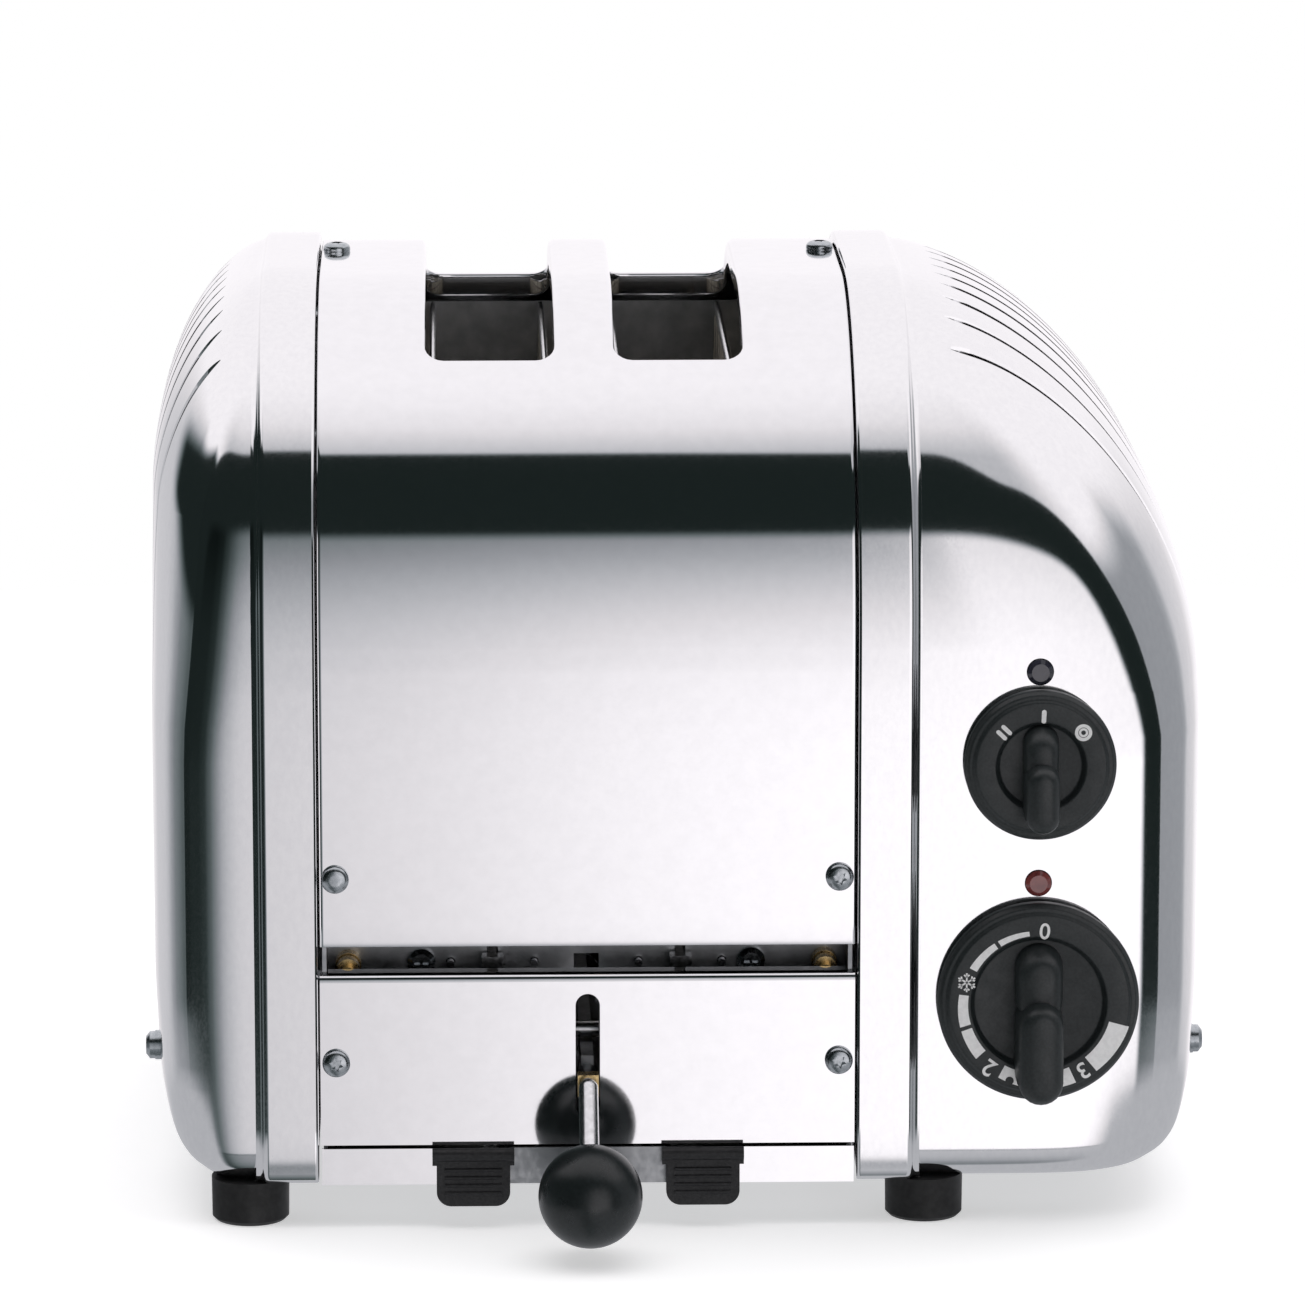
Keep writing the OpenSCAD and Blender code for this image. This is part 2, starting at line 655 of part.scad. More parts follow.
module selector_switch() placed() color([0.85, 0.83, 0.78]) difference() {
  union() {
    box(knob_x - 13, knob_x + 13, -skin_y + 6, -skin_y + 34, selector_z - 12, selector_z + 12);
    ycyl(knob_x, selector_z, -skin_y + cast_t + wall_gap, -skin_y + 7, 6);
    for (k = [-1, 0, 1]) box(knob_x + 7 * k - 2, knob_x + 7 * k + 2, -skin_y + 33, -skin_y + 41,
      selector_z - 0.4, selector_z + 0.4);
  }
  ycyl(knob_x, selector_z, -skin_y - 1, -skin_y + 18.4, shaft_r + shaft_gap);
}

module timer_body() placed() color([0.75, 0.72, 0.60]) difference() {
  union() {
    box(knob_x - 22, knob_x + 22, -skin_y + 8, -skin_y + 38, timer_z - 20, timer_z + 20);
    ycyl(knob_x, timer_z, -skin_y + cast_t + wall_gap, -skin_y + 9, 7);
    for (sx = [-1, 1], sz = [-1, 1]) ycyl(knob_x + sx * 18, timer_z + sz * 16, -skin_y + 37, -skin_y + 41, 2.5);
  }
  ycyl(knob_x, timer_z, -skin_y - 1, -skin_y + 18.4, shaft_r + shaft_gap);
}

module timer_bell() placed() color(brass) translate([knob_x, -skin_y + 41, timer_z]) rotate([-90, 0, 0])
  rotate_extrude() polygon([[0, 0], [3, 0], [3, 7], [15, 7], [19, 2], [20, 2], [20, 3], [15.6, 8], [0, 8]]);

module lamp(z) translate([knob_x, -skin_y + 4, z]) rotate([90, 0, 0]) {
  cylinder(h = 4.6, r = lamp_r);
  translate([0, 0, 4.6]) cylinder(h = 0.7, r1 = lamp_r, r2 = lamp_r - 1);
}

module upper_lamp() placed() color([0.20, 0.20, 0.24]) lamp(upper_lamp_z);

module red_lamp() placed() color([0.45, 0.16, 0.16]) lamp(lower_lamp_z);

module lamp_holders() placed() color(black)
  for (z = [upper_lamp_z, lower_lamp_z]) ycyl(knob_x, z, -skin_y + 4, -skin_y + 18, 4.4);

module heat_shield() placed() color(zinc) {
  box(78, 79, -82, 82, underside_z + 2, 168);
  box(79, 84, -82, 82, underside_z + 2, underside_z + 3);
}

module terminal_block() placed() color([0.88, 0.87, 0.82]) difference() {
  box(90, 124, 60, 74, underside_z + 2, underside_z + 18);
  for (k = [0:2]) ycyl(96 + 11 * k, underside_z + 12, 59, 75, 2.2);
  for (k = [0:2]) translate([96 + 11 * k, 67, underside_z + 11]) cylinder(h = 10, r = 1.8);
}

module cable_gland() placed() color(black) difference() {
  union() {
    ycyl(gland_x, gland_z, skin_y - cast_t - 4, skin_y + 0.1, 7);
    ycyl(gland_x, gland_z, skin_y, skin_y + 2.0, 9);
    ycyl(gland_x, gland_z, skin_y - cast_t - 6, skin_y - cast_t - wall_gap, 8.6);
  }
  ycyl(gland_x, gland_z, skin_y - 30, skin_y + 10, gland_bore_r);
}

// ---------- feet and fasteners ----------
module foot(sx, sy) translate([sx * foot_x, sy * foot_y, 0]) difference() {
  rotate_extrude() polygon([[0, 0.4], [foot_r - 2.5, 0.4], [foot_r - 2, 0], [foot_r - 0.9, 0], [foot_r, 0.9],
    [foot_r + 0.1, underside_z], [0, underside_z]]);
  translate([0, 0, 3.5]) cylinder(h = 20, r = 2);
  translate([0, 0, -1]) cylinder(h = 4.5, r = 3.8);
}

module foot_front_left() placed() color(black) foot(-1, -1);

module foot_front_right() placed() color(black) foot(1, -1);

module foot_rear_left() placed() color(black) foot(-1, 1);

module foot_rear_right() placed() color(black) foot(1, 1);

module foot_screws() placed() color(zinc)
  for (sx = [-1, 1], sy = [-1, 1]) translate([sx * foot_x, sy * foot_y, 0]) difference() {
    union() {
      translate([0, 0, 1.4]) cylinder(h = 2.1, r = 3.6);
      translate([0, 0, 3.4]) cylinder(h = underside_z + 4 - 3.4, r = 2);
    }
    translate([-1.7, -0.35, 1]) cube([3.4, 0.7, 1.4]);
    translate([-0.35, -1.7, 1]) cube([0.7, 3.4, 1.4]);
  }

module panel_screws() placed() color(zinc) for (s = [-1, 1]) {
  front_screw(s * screw_x, screw_hi_z, -skin_y, 5);
  front_screw(s * screw_x, screw_lo_z, -skin_y, 5);
  rear_screw(s * screw_x, screw_hi_z, skin_y, 5);
  rear_screw(s * screw_x, screw_lo_z, skin_y, 5);
  translate([s * screw_x, screw_top_y, skin_top]) pan_screw(5);
}

module side_screws() placed() color(zinc) for (sy = [-1, 1]) {
  translate([right_end - side_seat, sy * side_screw_y, side_screw_z]) rotate([0, 90, 0]) washer_screw();
  translate([-left_end + side_seat, sy * side_screw_y, side_screw_z]) rotate([0, -90, 0]) washer_screw();
}

module frame_screws() placed() color(zinc) for (s = [-1, 1]) {
  front_screw(s * 39.5, pillar_z, -frame_y, 5);
  rear_screw(s * 39.5, pillar_z, frame_y, 5);
}

module brass_pillars() placed() color(brass) for (s = [-1, 1], sy = [-1, 1]) {
  mirror([0, sy < 0 ? 0 : 1, 0]) {
    ycyl(s * 57, pillar_z, -frame_y - 12, -frame_y + 4, 1.5);
    ycyl(s * 57, pillar_z, -frame_y - 4, -frame_y, 3.1);
    ycyl(s * 57, pillar_z, -frame_y - 9, -frame_y - 5, 2.8);
  }
}

upper_cover();
front_lower_panel();
rear_lower_panel();
left_end_casting();
right_end_casting();
left_side_plate();
right_side_plate();
front_frame_plate();
rear_frame_plate();
front_heat_plate();
rear_heat_plate();
base_plate();
left_bottom_plate();
right_bottom_plate();
crumb_ridge();
crumb_tray_left();
crumb_tray_right();
tray_tab_left();
tray_tab_right();
heater_card_left();
heater_card_centre();
heater_card_right();
heater_ribbon_left();
heater_ribbon_centre();
heater_ribbon_right();
guard_left_outer();
guard_left_inner();
guard_right_inner();
guard_right_outer();
bread_rack_left();
bread_rack_right();
carriage_bar();
lever_arm();
lever_pivot_rod();
pivot_bracket();
lever_nut();
lever_rod();
lever_ball();
selector_knob();
selector_shaft();
selector_switch();
timer_knob();
timer_shaft();
timer_body();
timer_bell();
upper_lamp();
red_lamp();
lamp_holders();
heat_shield();
terminal_block();
cable_gland();
foot_front_left();
foot_front_right();
foot_rear_left();
foot_rear_right();
foot_screws();
panel_screws();
side_screws();
frame_screws();
brass_pillars();
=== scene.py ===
"""Looks for the two-slot toaster.

Lengths are millimetres from the middle of the front panel, and at() turns them into row-frame metres.
"""
import math

import bmesh
import bpy
from mathutils import Matrix, Vector


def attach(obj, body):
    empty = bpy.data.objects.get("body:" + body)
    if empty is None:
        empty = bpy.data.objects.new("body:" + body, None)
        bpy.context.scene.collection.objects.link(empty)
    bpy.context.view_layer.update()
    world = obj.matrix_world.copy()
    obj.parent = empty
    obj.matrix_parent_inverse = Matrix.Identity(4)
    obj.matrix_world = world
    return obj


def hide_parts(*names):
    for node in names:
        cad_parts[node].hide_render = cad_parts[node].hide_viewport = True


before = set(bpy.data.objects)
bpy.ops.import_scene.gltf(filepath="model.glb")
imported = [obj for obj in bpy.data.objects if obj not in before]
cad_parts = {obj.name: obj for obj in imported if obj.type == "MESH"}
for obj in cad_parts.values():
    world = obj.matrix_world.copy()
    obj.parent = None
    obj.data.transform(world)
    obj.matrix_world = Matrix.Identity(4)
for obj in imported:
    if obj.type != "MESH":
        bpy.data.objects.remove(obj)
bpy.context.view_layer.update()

sin, cos, pi, rad = math.sin, math.cos, math.pi, math.radians

# ---------- sizes that the CAD also has ----------
BODY_H, BODY_D, PANEL_W, SHOULDER_R = 220.0, 210.0, 127.2, 80.0
SHEET, BAND_STEP, UNDER_Z = 1.0, 2.0, 10.5
CAST_T = 3.0
RIGHT_PLAN_N, LEFT_PLAN_N, TOP_PLAN_N, DOME_N = 7.0, 5.0, 2.4, 1.75
RIGHT_B, LEFT_B = 90.0, 48.0
VENTS, VENT_PITCH, VENT_LOW = 12, 12.0, 88.0
SLOT_W, SLOT_LEN, SLOT_X, LIP_H = 30.6, 138.0, 22.5, 6.0
COVER_LOW = 68.4
KNOB_X, SELECTOR_Z, TIMER_Z = 107.0, 112.3, 54.9
SELECTOR_D, TIMER_D = 36.0, 48.0
LAMP_HEIGHTS, LAMP_BORE_R = (134.1, 83.0), 3.25

# ---------- sizes for the look only ----------
# The CAD's bands are 11.5 wide, its end castings 28.9 and 72.8 long, its slits 1.5 wide from 11 on.
BAND_W, LEFT_LEN, RIGHT_LEN = 13.2, 27.2, 71.1
VENT_W, VENT_START = 2.3, 9.3

# ---------- sizes that follow ----------
HALF_D = BODY_D / 2
SKIN_Y = HALF_D - BAND_STEP
SKIN_TOP = BODY_H - BAND_STEP
HALF_W = PANEL_W / 2
BAND_IN = HALF_W + 0.5
BAND_OUT = BAND_IN + BAND_W
LEFT_END = BAND_OUT + LEFT_LEN
RIGHT_END = BAND_OUT + RIGHT_LEN
BALL_R = 12.25
BALL_Y, BALL_Z = -SKIN_Y - 33, 15.9
X_SHIFT = -(RIGHT_LEN - LEFT_LEN) / 2
Y_SHIFT = (BALL_R - BALL_Y - HALF_D) / 2
STUD_Z = 35.6
SCREW_X, SCREW_HEIGHTS, SCREW_TOP_Y = HALF_W - 3.8, (84.9, 40.1), 12
PLAN_Z = BODY_H - 100


def at(x, y, z):
    """A point in millimetres turned into row-frame metres."""
    return Vector(((x + X_SHIFT) / 1000, (y + Y_SHIFT) / 1000, z / 1000))


# ---------- camera ----------
PITCH, YAW = rad(11.38), rad(1.5)
SENSOR, LENS = 36.0, 216.51172
CAMERA_AT = (-32.05, -1915.01, 504.11)
cam_data = bpy.data.cameras.new("camera")
cam = bpy.data.objects.new("camera", cam_data)
bpy.context.scene.collection.objects.link(cam)
cam_data.sensor_width = SENSOR
cam_data.lens = LENS
cam_data.clip_start, cam_data.clip_end = 0.05, 50
fw = Vector((sin(YAW) * cos(PITCH), cos(YAW) * cos(PITCH), -sin(PITCH)))
rt = Vector((cos(YAW), -sin(YAW), 0))
up = rt.cross(fw)
turn = Matrix((rt, up, -fw)).transposed().to_4x4()
cam.matrix_world = Matrix.Translation(at(*CAMERA_AT)) @ turn
bpy.context.scene.camera = cam


# ---------- node helpers ----------
def new_mat(name):
    m = bpy.data.materials.new(name)
    m.use_nodes = True
    nt = m.node_tree
    bsdf = next(n for n in nt.nodes if n.type == "BSDF_PRINCIPLED")
    return m, nt, bsdf


def node(nt, kind, **props):
    n = nt.nodes.new(kind)
    for k, v in props.items():
        setattr(n, k, v)
    return n


def coords(nt, scale=(1, 1, 1)):
    tc = node(nt, "ShaderNodeTexCoord")
    mp = node(nt, "ShaderNodeMapping")
    mp.inputs["Scale"].default_value = scale
    nt.links.new(tc.outputs["Object"], mp.inputs["Vector"])
    return mp.outputs["Vector"]


def noise(nt, vec, scale, detail=3.0, rough=0.5):
    n = node(nt, "ShaderNodeTexNoise")
    n.inputs["Scale"].default_value = scale
    n.inputs["Detail"].default_value = detail
    n.inputs["Roughness"].default_value = rough
    nt.links.new(vec, n.inputs["Vector"])
    return n.outputs["Fac"]


def ramp(nt, fac, stops):
    r = node(nt, "ShaderNodeValToRGB")
    el = r.color_ramp.elements
    while len(el) < len(stops):
        el.new(0.5)
    for e, (p, c) in zip(el, stops):
        e.position = p
        e.color = (*c, 1) if len(c) == 3 else c
    nt.links.new(fac, r.inputs["Fac"])
    return r.outputs["Color"]


def remap(nt, fac, a, b, lo=0.0, hi=1.0):
    m = node(nt, "ShaderNodeMapRange")
    m.inputs["From Min"].default_value = lo
    m.inputs["From Max"].default_value = hi
    m.inputs["To Min"].default_value = a
    m.inputs["To Max"].default_value = b
    nt.links.new(fac, m.inputs["Value"])
    return m.outputs["Result"]


def bump(nt, bsdf, fac, strength, dist):
    b = node(nt, "ShaderNodeBump")
    b.inputs["Strength"].default_value = strength
    b.inputs["Distance"].default_value = dist
    nt.links.new(fac, b.inputs["Height"])
    nt.links.new(b.outputs["Normal"], bsdf.inputs["Normal"])
    return b


def metal(name, c0, c1, r0, r1, scale=60, stretch=(1, 1, 1), bump_s=0.0, bump_d=0.0002, wave=0.0):
    m, nt, bsdf = new_mat(name)
    bsdf.inputs["Metallic"].default_value = 1.0
    vec = coords(nt, stretch)
    n1 = noise(nt, vec, scale, 4)
    nt.links.new(ramp(nt, n1, [(0.3, c0), (0.7, c1)]), bsdf.inputs["Base Color"])
    n2 = noise(nt, vec, scale * 3.1, 3)
    nt.links.new(remap(nt, n2, r0, r1, 0.3, 0.7), bsdf.inputs["Roughness"])
    if wave:
        low = noise(nt, coords(nt), 14, 1)
        b = bump(nt, bsdf, low, wave, 0.0010)
        if bump_s:
            b2 = node(nt, "ShaderNodeBump")
            b2.inputs["Strength"].default_value = bump_s
            b2.inputs["Distance"].default_value = bump_d
            nt.links.new(n2, b2.inputs["Height"])
            nt.links.new(b2.outputs["Normal"], b.inputs["Normal"])
    elif bump_s:
        bump(nt, bsdf, n2, bump_s, bump_d)
    return m


def plastic(name, c0, c1, r0, r1, scale=900, bump_s=0.1, bump_d=0.0001, spec=0.5, coat=0.0):
    m, nt, bsdf = new_mat(name)
    bsdf.inputs["Specular IOR Level"].default_value = spec
    bsdf.inputs["Coat Weight"].default_value = coat
    vec = coords(nt)
    n1 = noise(nt, vec, scale, 3)
    nt.links.new(ramp(nt, n1, [(0.35, c0), (0.65, c1)]), bsdf.inputs["Base Color"])
    nt.links.new(remap(nt, noise(nt, vec, scale * 0.2, 2), r0, r1, 0.3, 0.7), bsdf.inputs["Roughness"])
    bump(nt, bsdf, n1, bump_s, bump_d)
    return m


M = {}
M["sheet"] = metal("polished_sheet", (0.86, 0.86, 0.87), (0.89, 0.89, 0.90), 0.05, 0.07, 300,
                   (1, 1, 1), 0.004, 0.00002, 0.008)
M["casting"] = metal("polished_casting", (0.84, 0.84, 0.85), (0.88, 0.88, 0.885), 0.055, 0.09, 700,
                     (1, 1, 0.6), 0.006, 0.00002, 0.01)
# Near-black walls for the vent slits: painted shade, so the slits read as dark openings into the shaded
# inside.
M["painted_slit_shade"] = metal("painted_slit_shade", (0.02, 0.022, 0.023), (0.04, 0.043, 0.045), 0.5, 0.7, 300,
                         bump_s=0.2, bump_d=0.0001)
M["galv"] = metal("galvanised", (0.36, 0.37, 0.38), (0.50, 0.51, 0.52), 0.30, 0.48, 220,
                  bump_s=0.15, bump_d=0.0001)
M["zinc"] = metal("zinc_screw", (0.40, 0.43, 0.45), (0.55, 0.58, 0.60), 0.16, 0.30, 900,
                  bump_s=0.10, bump_d=0.00005)
M["wire"] = metal("bright_wire", (0.66, 0.66, 0.67), (0.80, 0.80, 0.81), 0.14, 0.26, 700,
                  bump_s=0.05, bump_d=0.00005)
M["ribbon"] = metal("heater_ribbon", (0.26, 0.23, 0.21), (0.40, 0.36, 0.33), 0.35, 0.55, 500,
                    (1, 0.2, 1), 0.1, 0.0001)
M["brass"] = metal("brass", (0.60, 0.43, 0.19), (0.76, 0.57, 0.28), 0.20, 0.36, 600,
                   bump_s=0.08, bump_d=0.00005)
M["mica"] = plastic("mica", (0.40, 0.37, 0.31), (0.58, 0.54, 0.46), 0.45, 0.7, 260, 0.3, 0.0002)
M["black"] = plastic("black_plastic", (0.014, 0.0175, 0.018), (0.021, 0.026, 0.027), 0.34, 0.46,
                     1600, 0.12, 0.00006)
M["ball"] = plastic("ball_black", (0.009, 0.012, 0.0125), (0.013, 0.017, 0.0175), 0.26, 0.34,
                    1200, 0.05, 0.00004)
M["tab"] = plastic("tab_black", (0.006, 0.006, 0.007), (0.016, 0.016, 0.017), 0.40, 0.55, 1300, 0.5, 0.0002)
M["rubber"] = plastic("rubber", (0.007, 0.007, 0.007), (0.014, 0.014, 0.014), 0.50, 0.68, 700, 0.25, 0.0001)
M["cream"] = plastic("cream_plastic", (0.55, 0.52, 0.45), (0.66, 0.63, 0.56), 0.4, 0.55, 500, 0.1, 0.0001)
M["mark"] = plastic("white_mark", (0.78, 0.78, 0.78), (0.86, 0.86, 0.86), 0.4, 0.5, 900, 0.1, 0.00003)
M["lens_dark"] = plastic("dark_lens", (0.018, 0.018, 0.028), (0.035, 0.035, 0.05), 0.06, 0.12,
                         300, 0.05, 0.0001, 0.6, 0.6)
M["lens_red"] = plastic("red_lens", (0.16, 0.035, 0.035), (0.24, 0.06, 0.055), 0.08, 0.14,
                        300, 0.05, 0.0001, 0.6, 0.6)


# ---------- mesh helpers ----------
def finish_mesh(o, angle=32.0):
    bm = bmesh.new()
    bm.from_mesh(o.data)
    lim = math.radians(angle)
    for f in bm.faces:
        f.smooth = True
    for e in bm.edges:
        e.smooth = len(e.link_faces) == 2 and e.calc_face_angle(0) < lim
    bm.to_mesh(o.data)
    bm.free()
    return o


def make(name, verts, faces, mat, angle=32.0, recalc=True):
    me = bpy.data.meshes.new(name)
    me.from_pydata([tuple(v) for v in verts], [], faces)
    me.validate()
    if recalc:
        bm = bmesh.new()
        bm.from_mesh(me)
        bmesh.ops.recalc_face_normals(bm, faces=bm.faces[:])
        bm.to_mesh(me)
        bm.free()
    me.materials.append(mat)
    o = bpy.data.objects.new(name, me)
    bpy.context.scene.collection.objects.link(o)
    return finish_mesh(o, angle)


def from_bm(name, bm, mat, angle=32.0):
    me = bpy.data.meshes.new(name)
    bmesh.ops.recalc_face_normals(bm, faces=bm.faces[:])
    bm.to_mesh(me)
    bm.free()
    me.materials.append(mat)
    o = bpy.data.objects.new(name, me)
    bpy.context.scene.collection.objects.link(o)
    return finish_mesh(o, angle)


def join(name, objs):
    for o in bpy.context.selected_objects:
        o.select_set(False)
    for o in objs:
        o.select_set(True)
    bpy.context.view_layer.objects.active = objs[0]
    bpy.ops.object.join()
    objs[0].name = name
    objs[0].data.name = name
    return objs[0]


def cut(o, cutters, angle=32.0):
    """Boolean difference, applied."""
    for c in cutters:
        md = o.modifiers.new("cut", "BOOLEAN")
        md.operation = "DIFFERENCE"
        md.solver = "EXACT"
        md.object = c
    dg = bpy.context.evaluated_depsgraph_get()
    me = bpy.data.meshes.new_from_object(o.evaluated_get(dg))
    o.modifiers.clear()
    o.data = me
    for c in cutters:
        bpy.data.objects.remove(c)
    return finish_mesh(o, angle)


def fillet(pts, r, n=4):
    """Rounds the inner corners of an open polyline."""
    out = [pts[0]]
    for a, b, c in zip(pts, pts[1:], pts[2:]):
        a, b, c = Vector(a), Vector(b), Vector(c)
        ra = min(r, (a - b).length * 0.49, (c - b).length * 0.49)
        p, q = b + (a - b).normalized() * ra, b + (c - b).normalized() * ra
        for i in range(n + 1):
            t = i / n
            out.append(tuple((1 - t) ** 2 * p + 2 * t * (1 - t) * b + t * t * q))
    out.append(pts[-1])
    return out


def lathe(name, profile, place, mat, segs=96, angle=32.0):
    """Turns (radius, height) points about the local Z axis; place maps local mm to the row frame."""
    verts, faces, rings = [], [], []
    for r, h in profile:
        if r < 1e-6:
            rings.append([len(verts)])
            verts.append(place(0, 0, h))
        else:
            rings.append(list(range(len(verts), len(verts) + segs)))
            verts += [place(r * cos(2 * pi * i / segs), r * sin(2 * pi * i / segs), h) for i in range(segs)]
    for a, b in zip(rings, rings[1:]):
        for i in range(segs):
            j = (i + 1) % segs
            q = [a[i % len(a)], a[j % len(a)], b[j % len(b)], b[i % len(b)]]
            q = list(dict.fromkeys(q))
            if len(q) > 2:
                faces.append(q)
    return make(name, verts, faces, mat, angle)


def prism(name, outline, lo, hi, place, mat, bevel=0.0, segs=2, angle=32.0):
    """Closed outline in local XY, extruded from lo to hi along local Z, with rounded edges at hi."""
    bm = bmesh.new()
    base = [bm.verts.new((x, y, lo)) for x, y in outline]
    top = [bm.verts.new((x, y, hi)) for x, y in outline]
    n = len(outline)
    bm.faces.new(base[::-1])
    cap = bm.faces.new(top)
    for i in range(n):
        j = (i + 1) % n
        bm.faces.new([base[i], base[j], top[j], top[i]])
    bmesh.ops.recalc_face_normals(bm, faces=bm.faces[:])
    if bevel:
        bmesh.ops.bevel(bm, geom=list(cap.edges), offset=bevel, segments=segs, profile=0.5, affect="EDGES")
    for v in bm.verts:
        v.co = place(*v.co)
    return from_bm(name, bm, mat, angle)


def rounded_rect(w, h, r, n=8, cx=0.0, cy=0.0):
    pts = []
    for sx, sy, a0 in ((1, 1, 0), (-1, 1, 90), (-1, -1, 180), (1, -1, 270)):
        for i in range(n + 1):
            a = math.radians(a0 + 90 * i / n)
            pts.append((cx + sx * (w / 2 - r) + r * cos(a), cy + sy * (h / 2 - r) + r * sin(a)))
    return pts


# ---------- profile functions ----------
def arch_path(hd, top, r, z0, n=48, edge=0.01):
    """Front bottom, up the front, over the shoulders and down the back; edge rounds the lower corners."""
    turn = [(edge * (1 - sin(pi / 2 * i / 5)), edge * (1 - cos(pi / 2 * i / 5))) for i in range(5)]
    leg = [(0.0, edge + (top - r - z0 - edge) * i / 12) for i in range(12)]
    low = [(-hd + a, z0 + h) for a, h in turn + leg]
    pts = list(low)
    pts += [(-(hd - r) - r * cos(pi / 2 * i / n), top - r + r * sin(pi / 2 * i / n)) for i in range(n + 1)]
    pts += [(-(hd - r) + 2 * (hd - r) * i / 8, top) for i in range(1, 8)]
    pts += [(hd - r + r * sin(pi / 2 * i / n), top - r + r * cos(pi / 2 * i / n)) for i in range(n + 1)]
    return pts + [(-y, z) for y, z in reversed(low)]


def skin_height(y, inset=0.0):
    hd, top, r = SKIN_Y - inset, SKIN_TOP - inset, SHOULDER_R - BAND_STEP - inset
    a = abs(y)
    if a <= hd - r:
        return top
    return top - r + math.sqrt(max(0.0, r * r - (a - hd + r) ** 2))


def strip_shell(name, stations, z0, mat, thick, base=(SKIN_Y, SKIN_TOP, SHOULDER_R - BAND_STEP), edge=0.01):
    """A bent sheet: stations are (x, inset of the outer face) from one edge to the other."""
    hd, top, r = base
    rows = []
    for x, ins in stations:
        rows.append([(x, y, z) for y, z in arch_path(hd - ins, top - ins, r - ins, z0, 48, edge)])
    back = arch_path(hd - thick, top - thick, r - thick, z0)
    rows += [[(x, y, z) for y, z in back] for x, _ in (stations[-1], stations[0])]
    n = len(rows[0])
    verts = [at(*p) for row in rows for p in row]
    faces = []
    m = len(rows)
    for i in range(m):
        k = (i + 1) % m
        for j in range(n - 1):
            faces.append([i * n + j, k * n + j, k * n + j + 1, i * n + j + 1])
    faces.append([i * n for i in range(m)])
    faces.append([i * n + n - 1 for i in range(m)][::-1])
    return make(name, verts, faces, mat)


# ---------- wrap-over cover ----------
def slot_outline(cx, grow, n=6):
    return rounded_rect(SLOT_W + 2 * grow, SLOT_LEN + 2 * grow, 4.4 + grow, n, cx, 0)


def dense(outline, step=3.0):
    out = []
    for a, b in zip(outline, outline[1:] + outline[:1]):
        d = math.dist(a, b)
        k = max(1, int(d / step))
        out += [(a[0] + (b[0] - a[0]) * i / k, a[1] + (b[1] - a[1]) * i / k) for i in range(k)]
    return out


def slot_lip(name, cx, fil=1.6):
    path = dense(slot_outline(cx, 0.0))
    n = len(path)
    sect = [(fil * (1 - sin(a)), fil * (1 - cos(a))) for a in [pi / 2 * i / 6 for i in range(7)]]
    sect = [(o, d + 0.02) for o, d in sect]
    sect += [(0.0, LIP_H), (0.15, LIP_H + 0.25), (0.6, LIP_H + 0.3), (0.85, LIP_H), (0.9, 2.2), (fil, 1.05)]
    verts, faces = [], []
    for i in range(n):
        x, y = path[i]
        xa, ya = path[i - 1]
        xb, yb = path[(i + 1) % n]
        nx, ny = yb - ya, -(xb - xa)
        l = math.hypot(nx, ny) or 1
        nx, ny = nx / l, ny / l
        for o, d in sect:
            px, py = x + nx * o, y + ny * o
            verts.append(at(px, py, skin_height(py) - d))
    m = len(sect)
    for i in range(n):
        k = (i + 1) % n
        for j in range(m):
            q = (j + 1) % m
            faces.append([i * m + j, k * m + j, k * m + q, i * m + q])
    return make(name, verts, faces, M["sheet"], 50)


def cover():
    e = HALF_W
    st = [(-e, 0.5), (-e + 0.15, 0.15), (-e + 0.5, 0.0), (-e + 1.0, 0.0)]
    st += [(-e + 8 + i * (2 * e - 16) / 8, 0.0) for i in range(9)]
    st += [(e - 1.0, 0.0), (e - 0.5, 0.0), (e - 0.15, 0.15), (e, 0.5)]
    o = strip_shell("upper_cover_skin", st, COVER_LOW, M["sheet"], SHEET)
    cutters = []
    for s in (-1, 1):
        cutters.append(prism("c", slot_outline(s * SLOT_X, 1.6), 150, 230, at, M["sheet"]))
    cut(o, cutters)
    lips = [slot_lip("lip", s * SLOT_X) for s in (-1, 1)]
    return join("upper_cover_skin", [o] + lips)


cover_o = cover()
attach(cover_o, "housing")
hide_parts("upper_cover")


# ---------- end castings ----------
def dome_x(t, x0, xe):
    return x0 + (xe - x0) * max(0.0, sin(t)) ** (2 / DOME_N)


def dome_z(t, top, b):
    return top - b + b * max(0.0, cos(t)) ** (2 / DOME_N)


def arch_half(z, hd, top, r):
    return hd if z <= top - r else hd - r + math.sqrt(max(0.0, r * r - (z - top + r) ** 2))


# Rounded lower edge: height above the underside, inset at the side, inset at the front and back.
LOW = [(0, 14, 5), (1, 11, 3), (2.3, 9, 1.7), (4.5, 6.2, 0.4), (8, 4, 0), (13.7, 2.4, 0), (23, 1.0, 0),
       (33, 0.5, 0), (45, 0, 0)]
# Heights of the rows of points on the rounded edge.
LOW_ROWS = [0, 0.25, 0.5, 0.75, 1, 1.3, 1.65, 2, 2.5, 3, 3.7, 4.5, 5.5, 6.7, 8, 9.5, 11.3, 13.7, 16.5, 19.5,
            23, 28, 33, 39, 45]
DOME_ROWS = 90


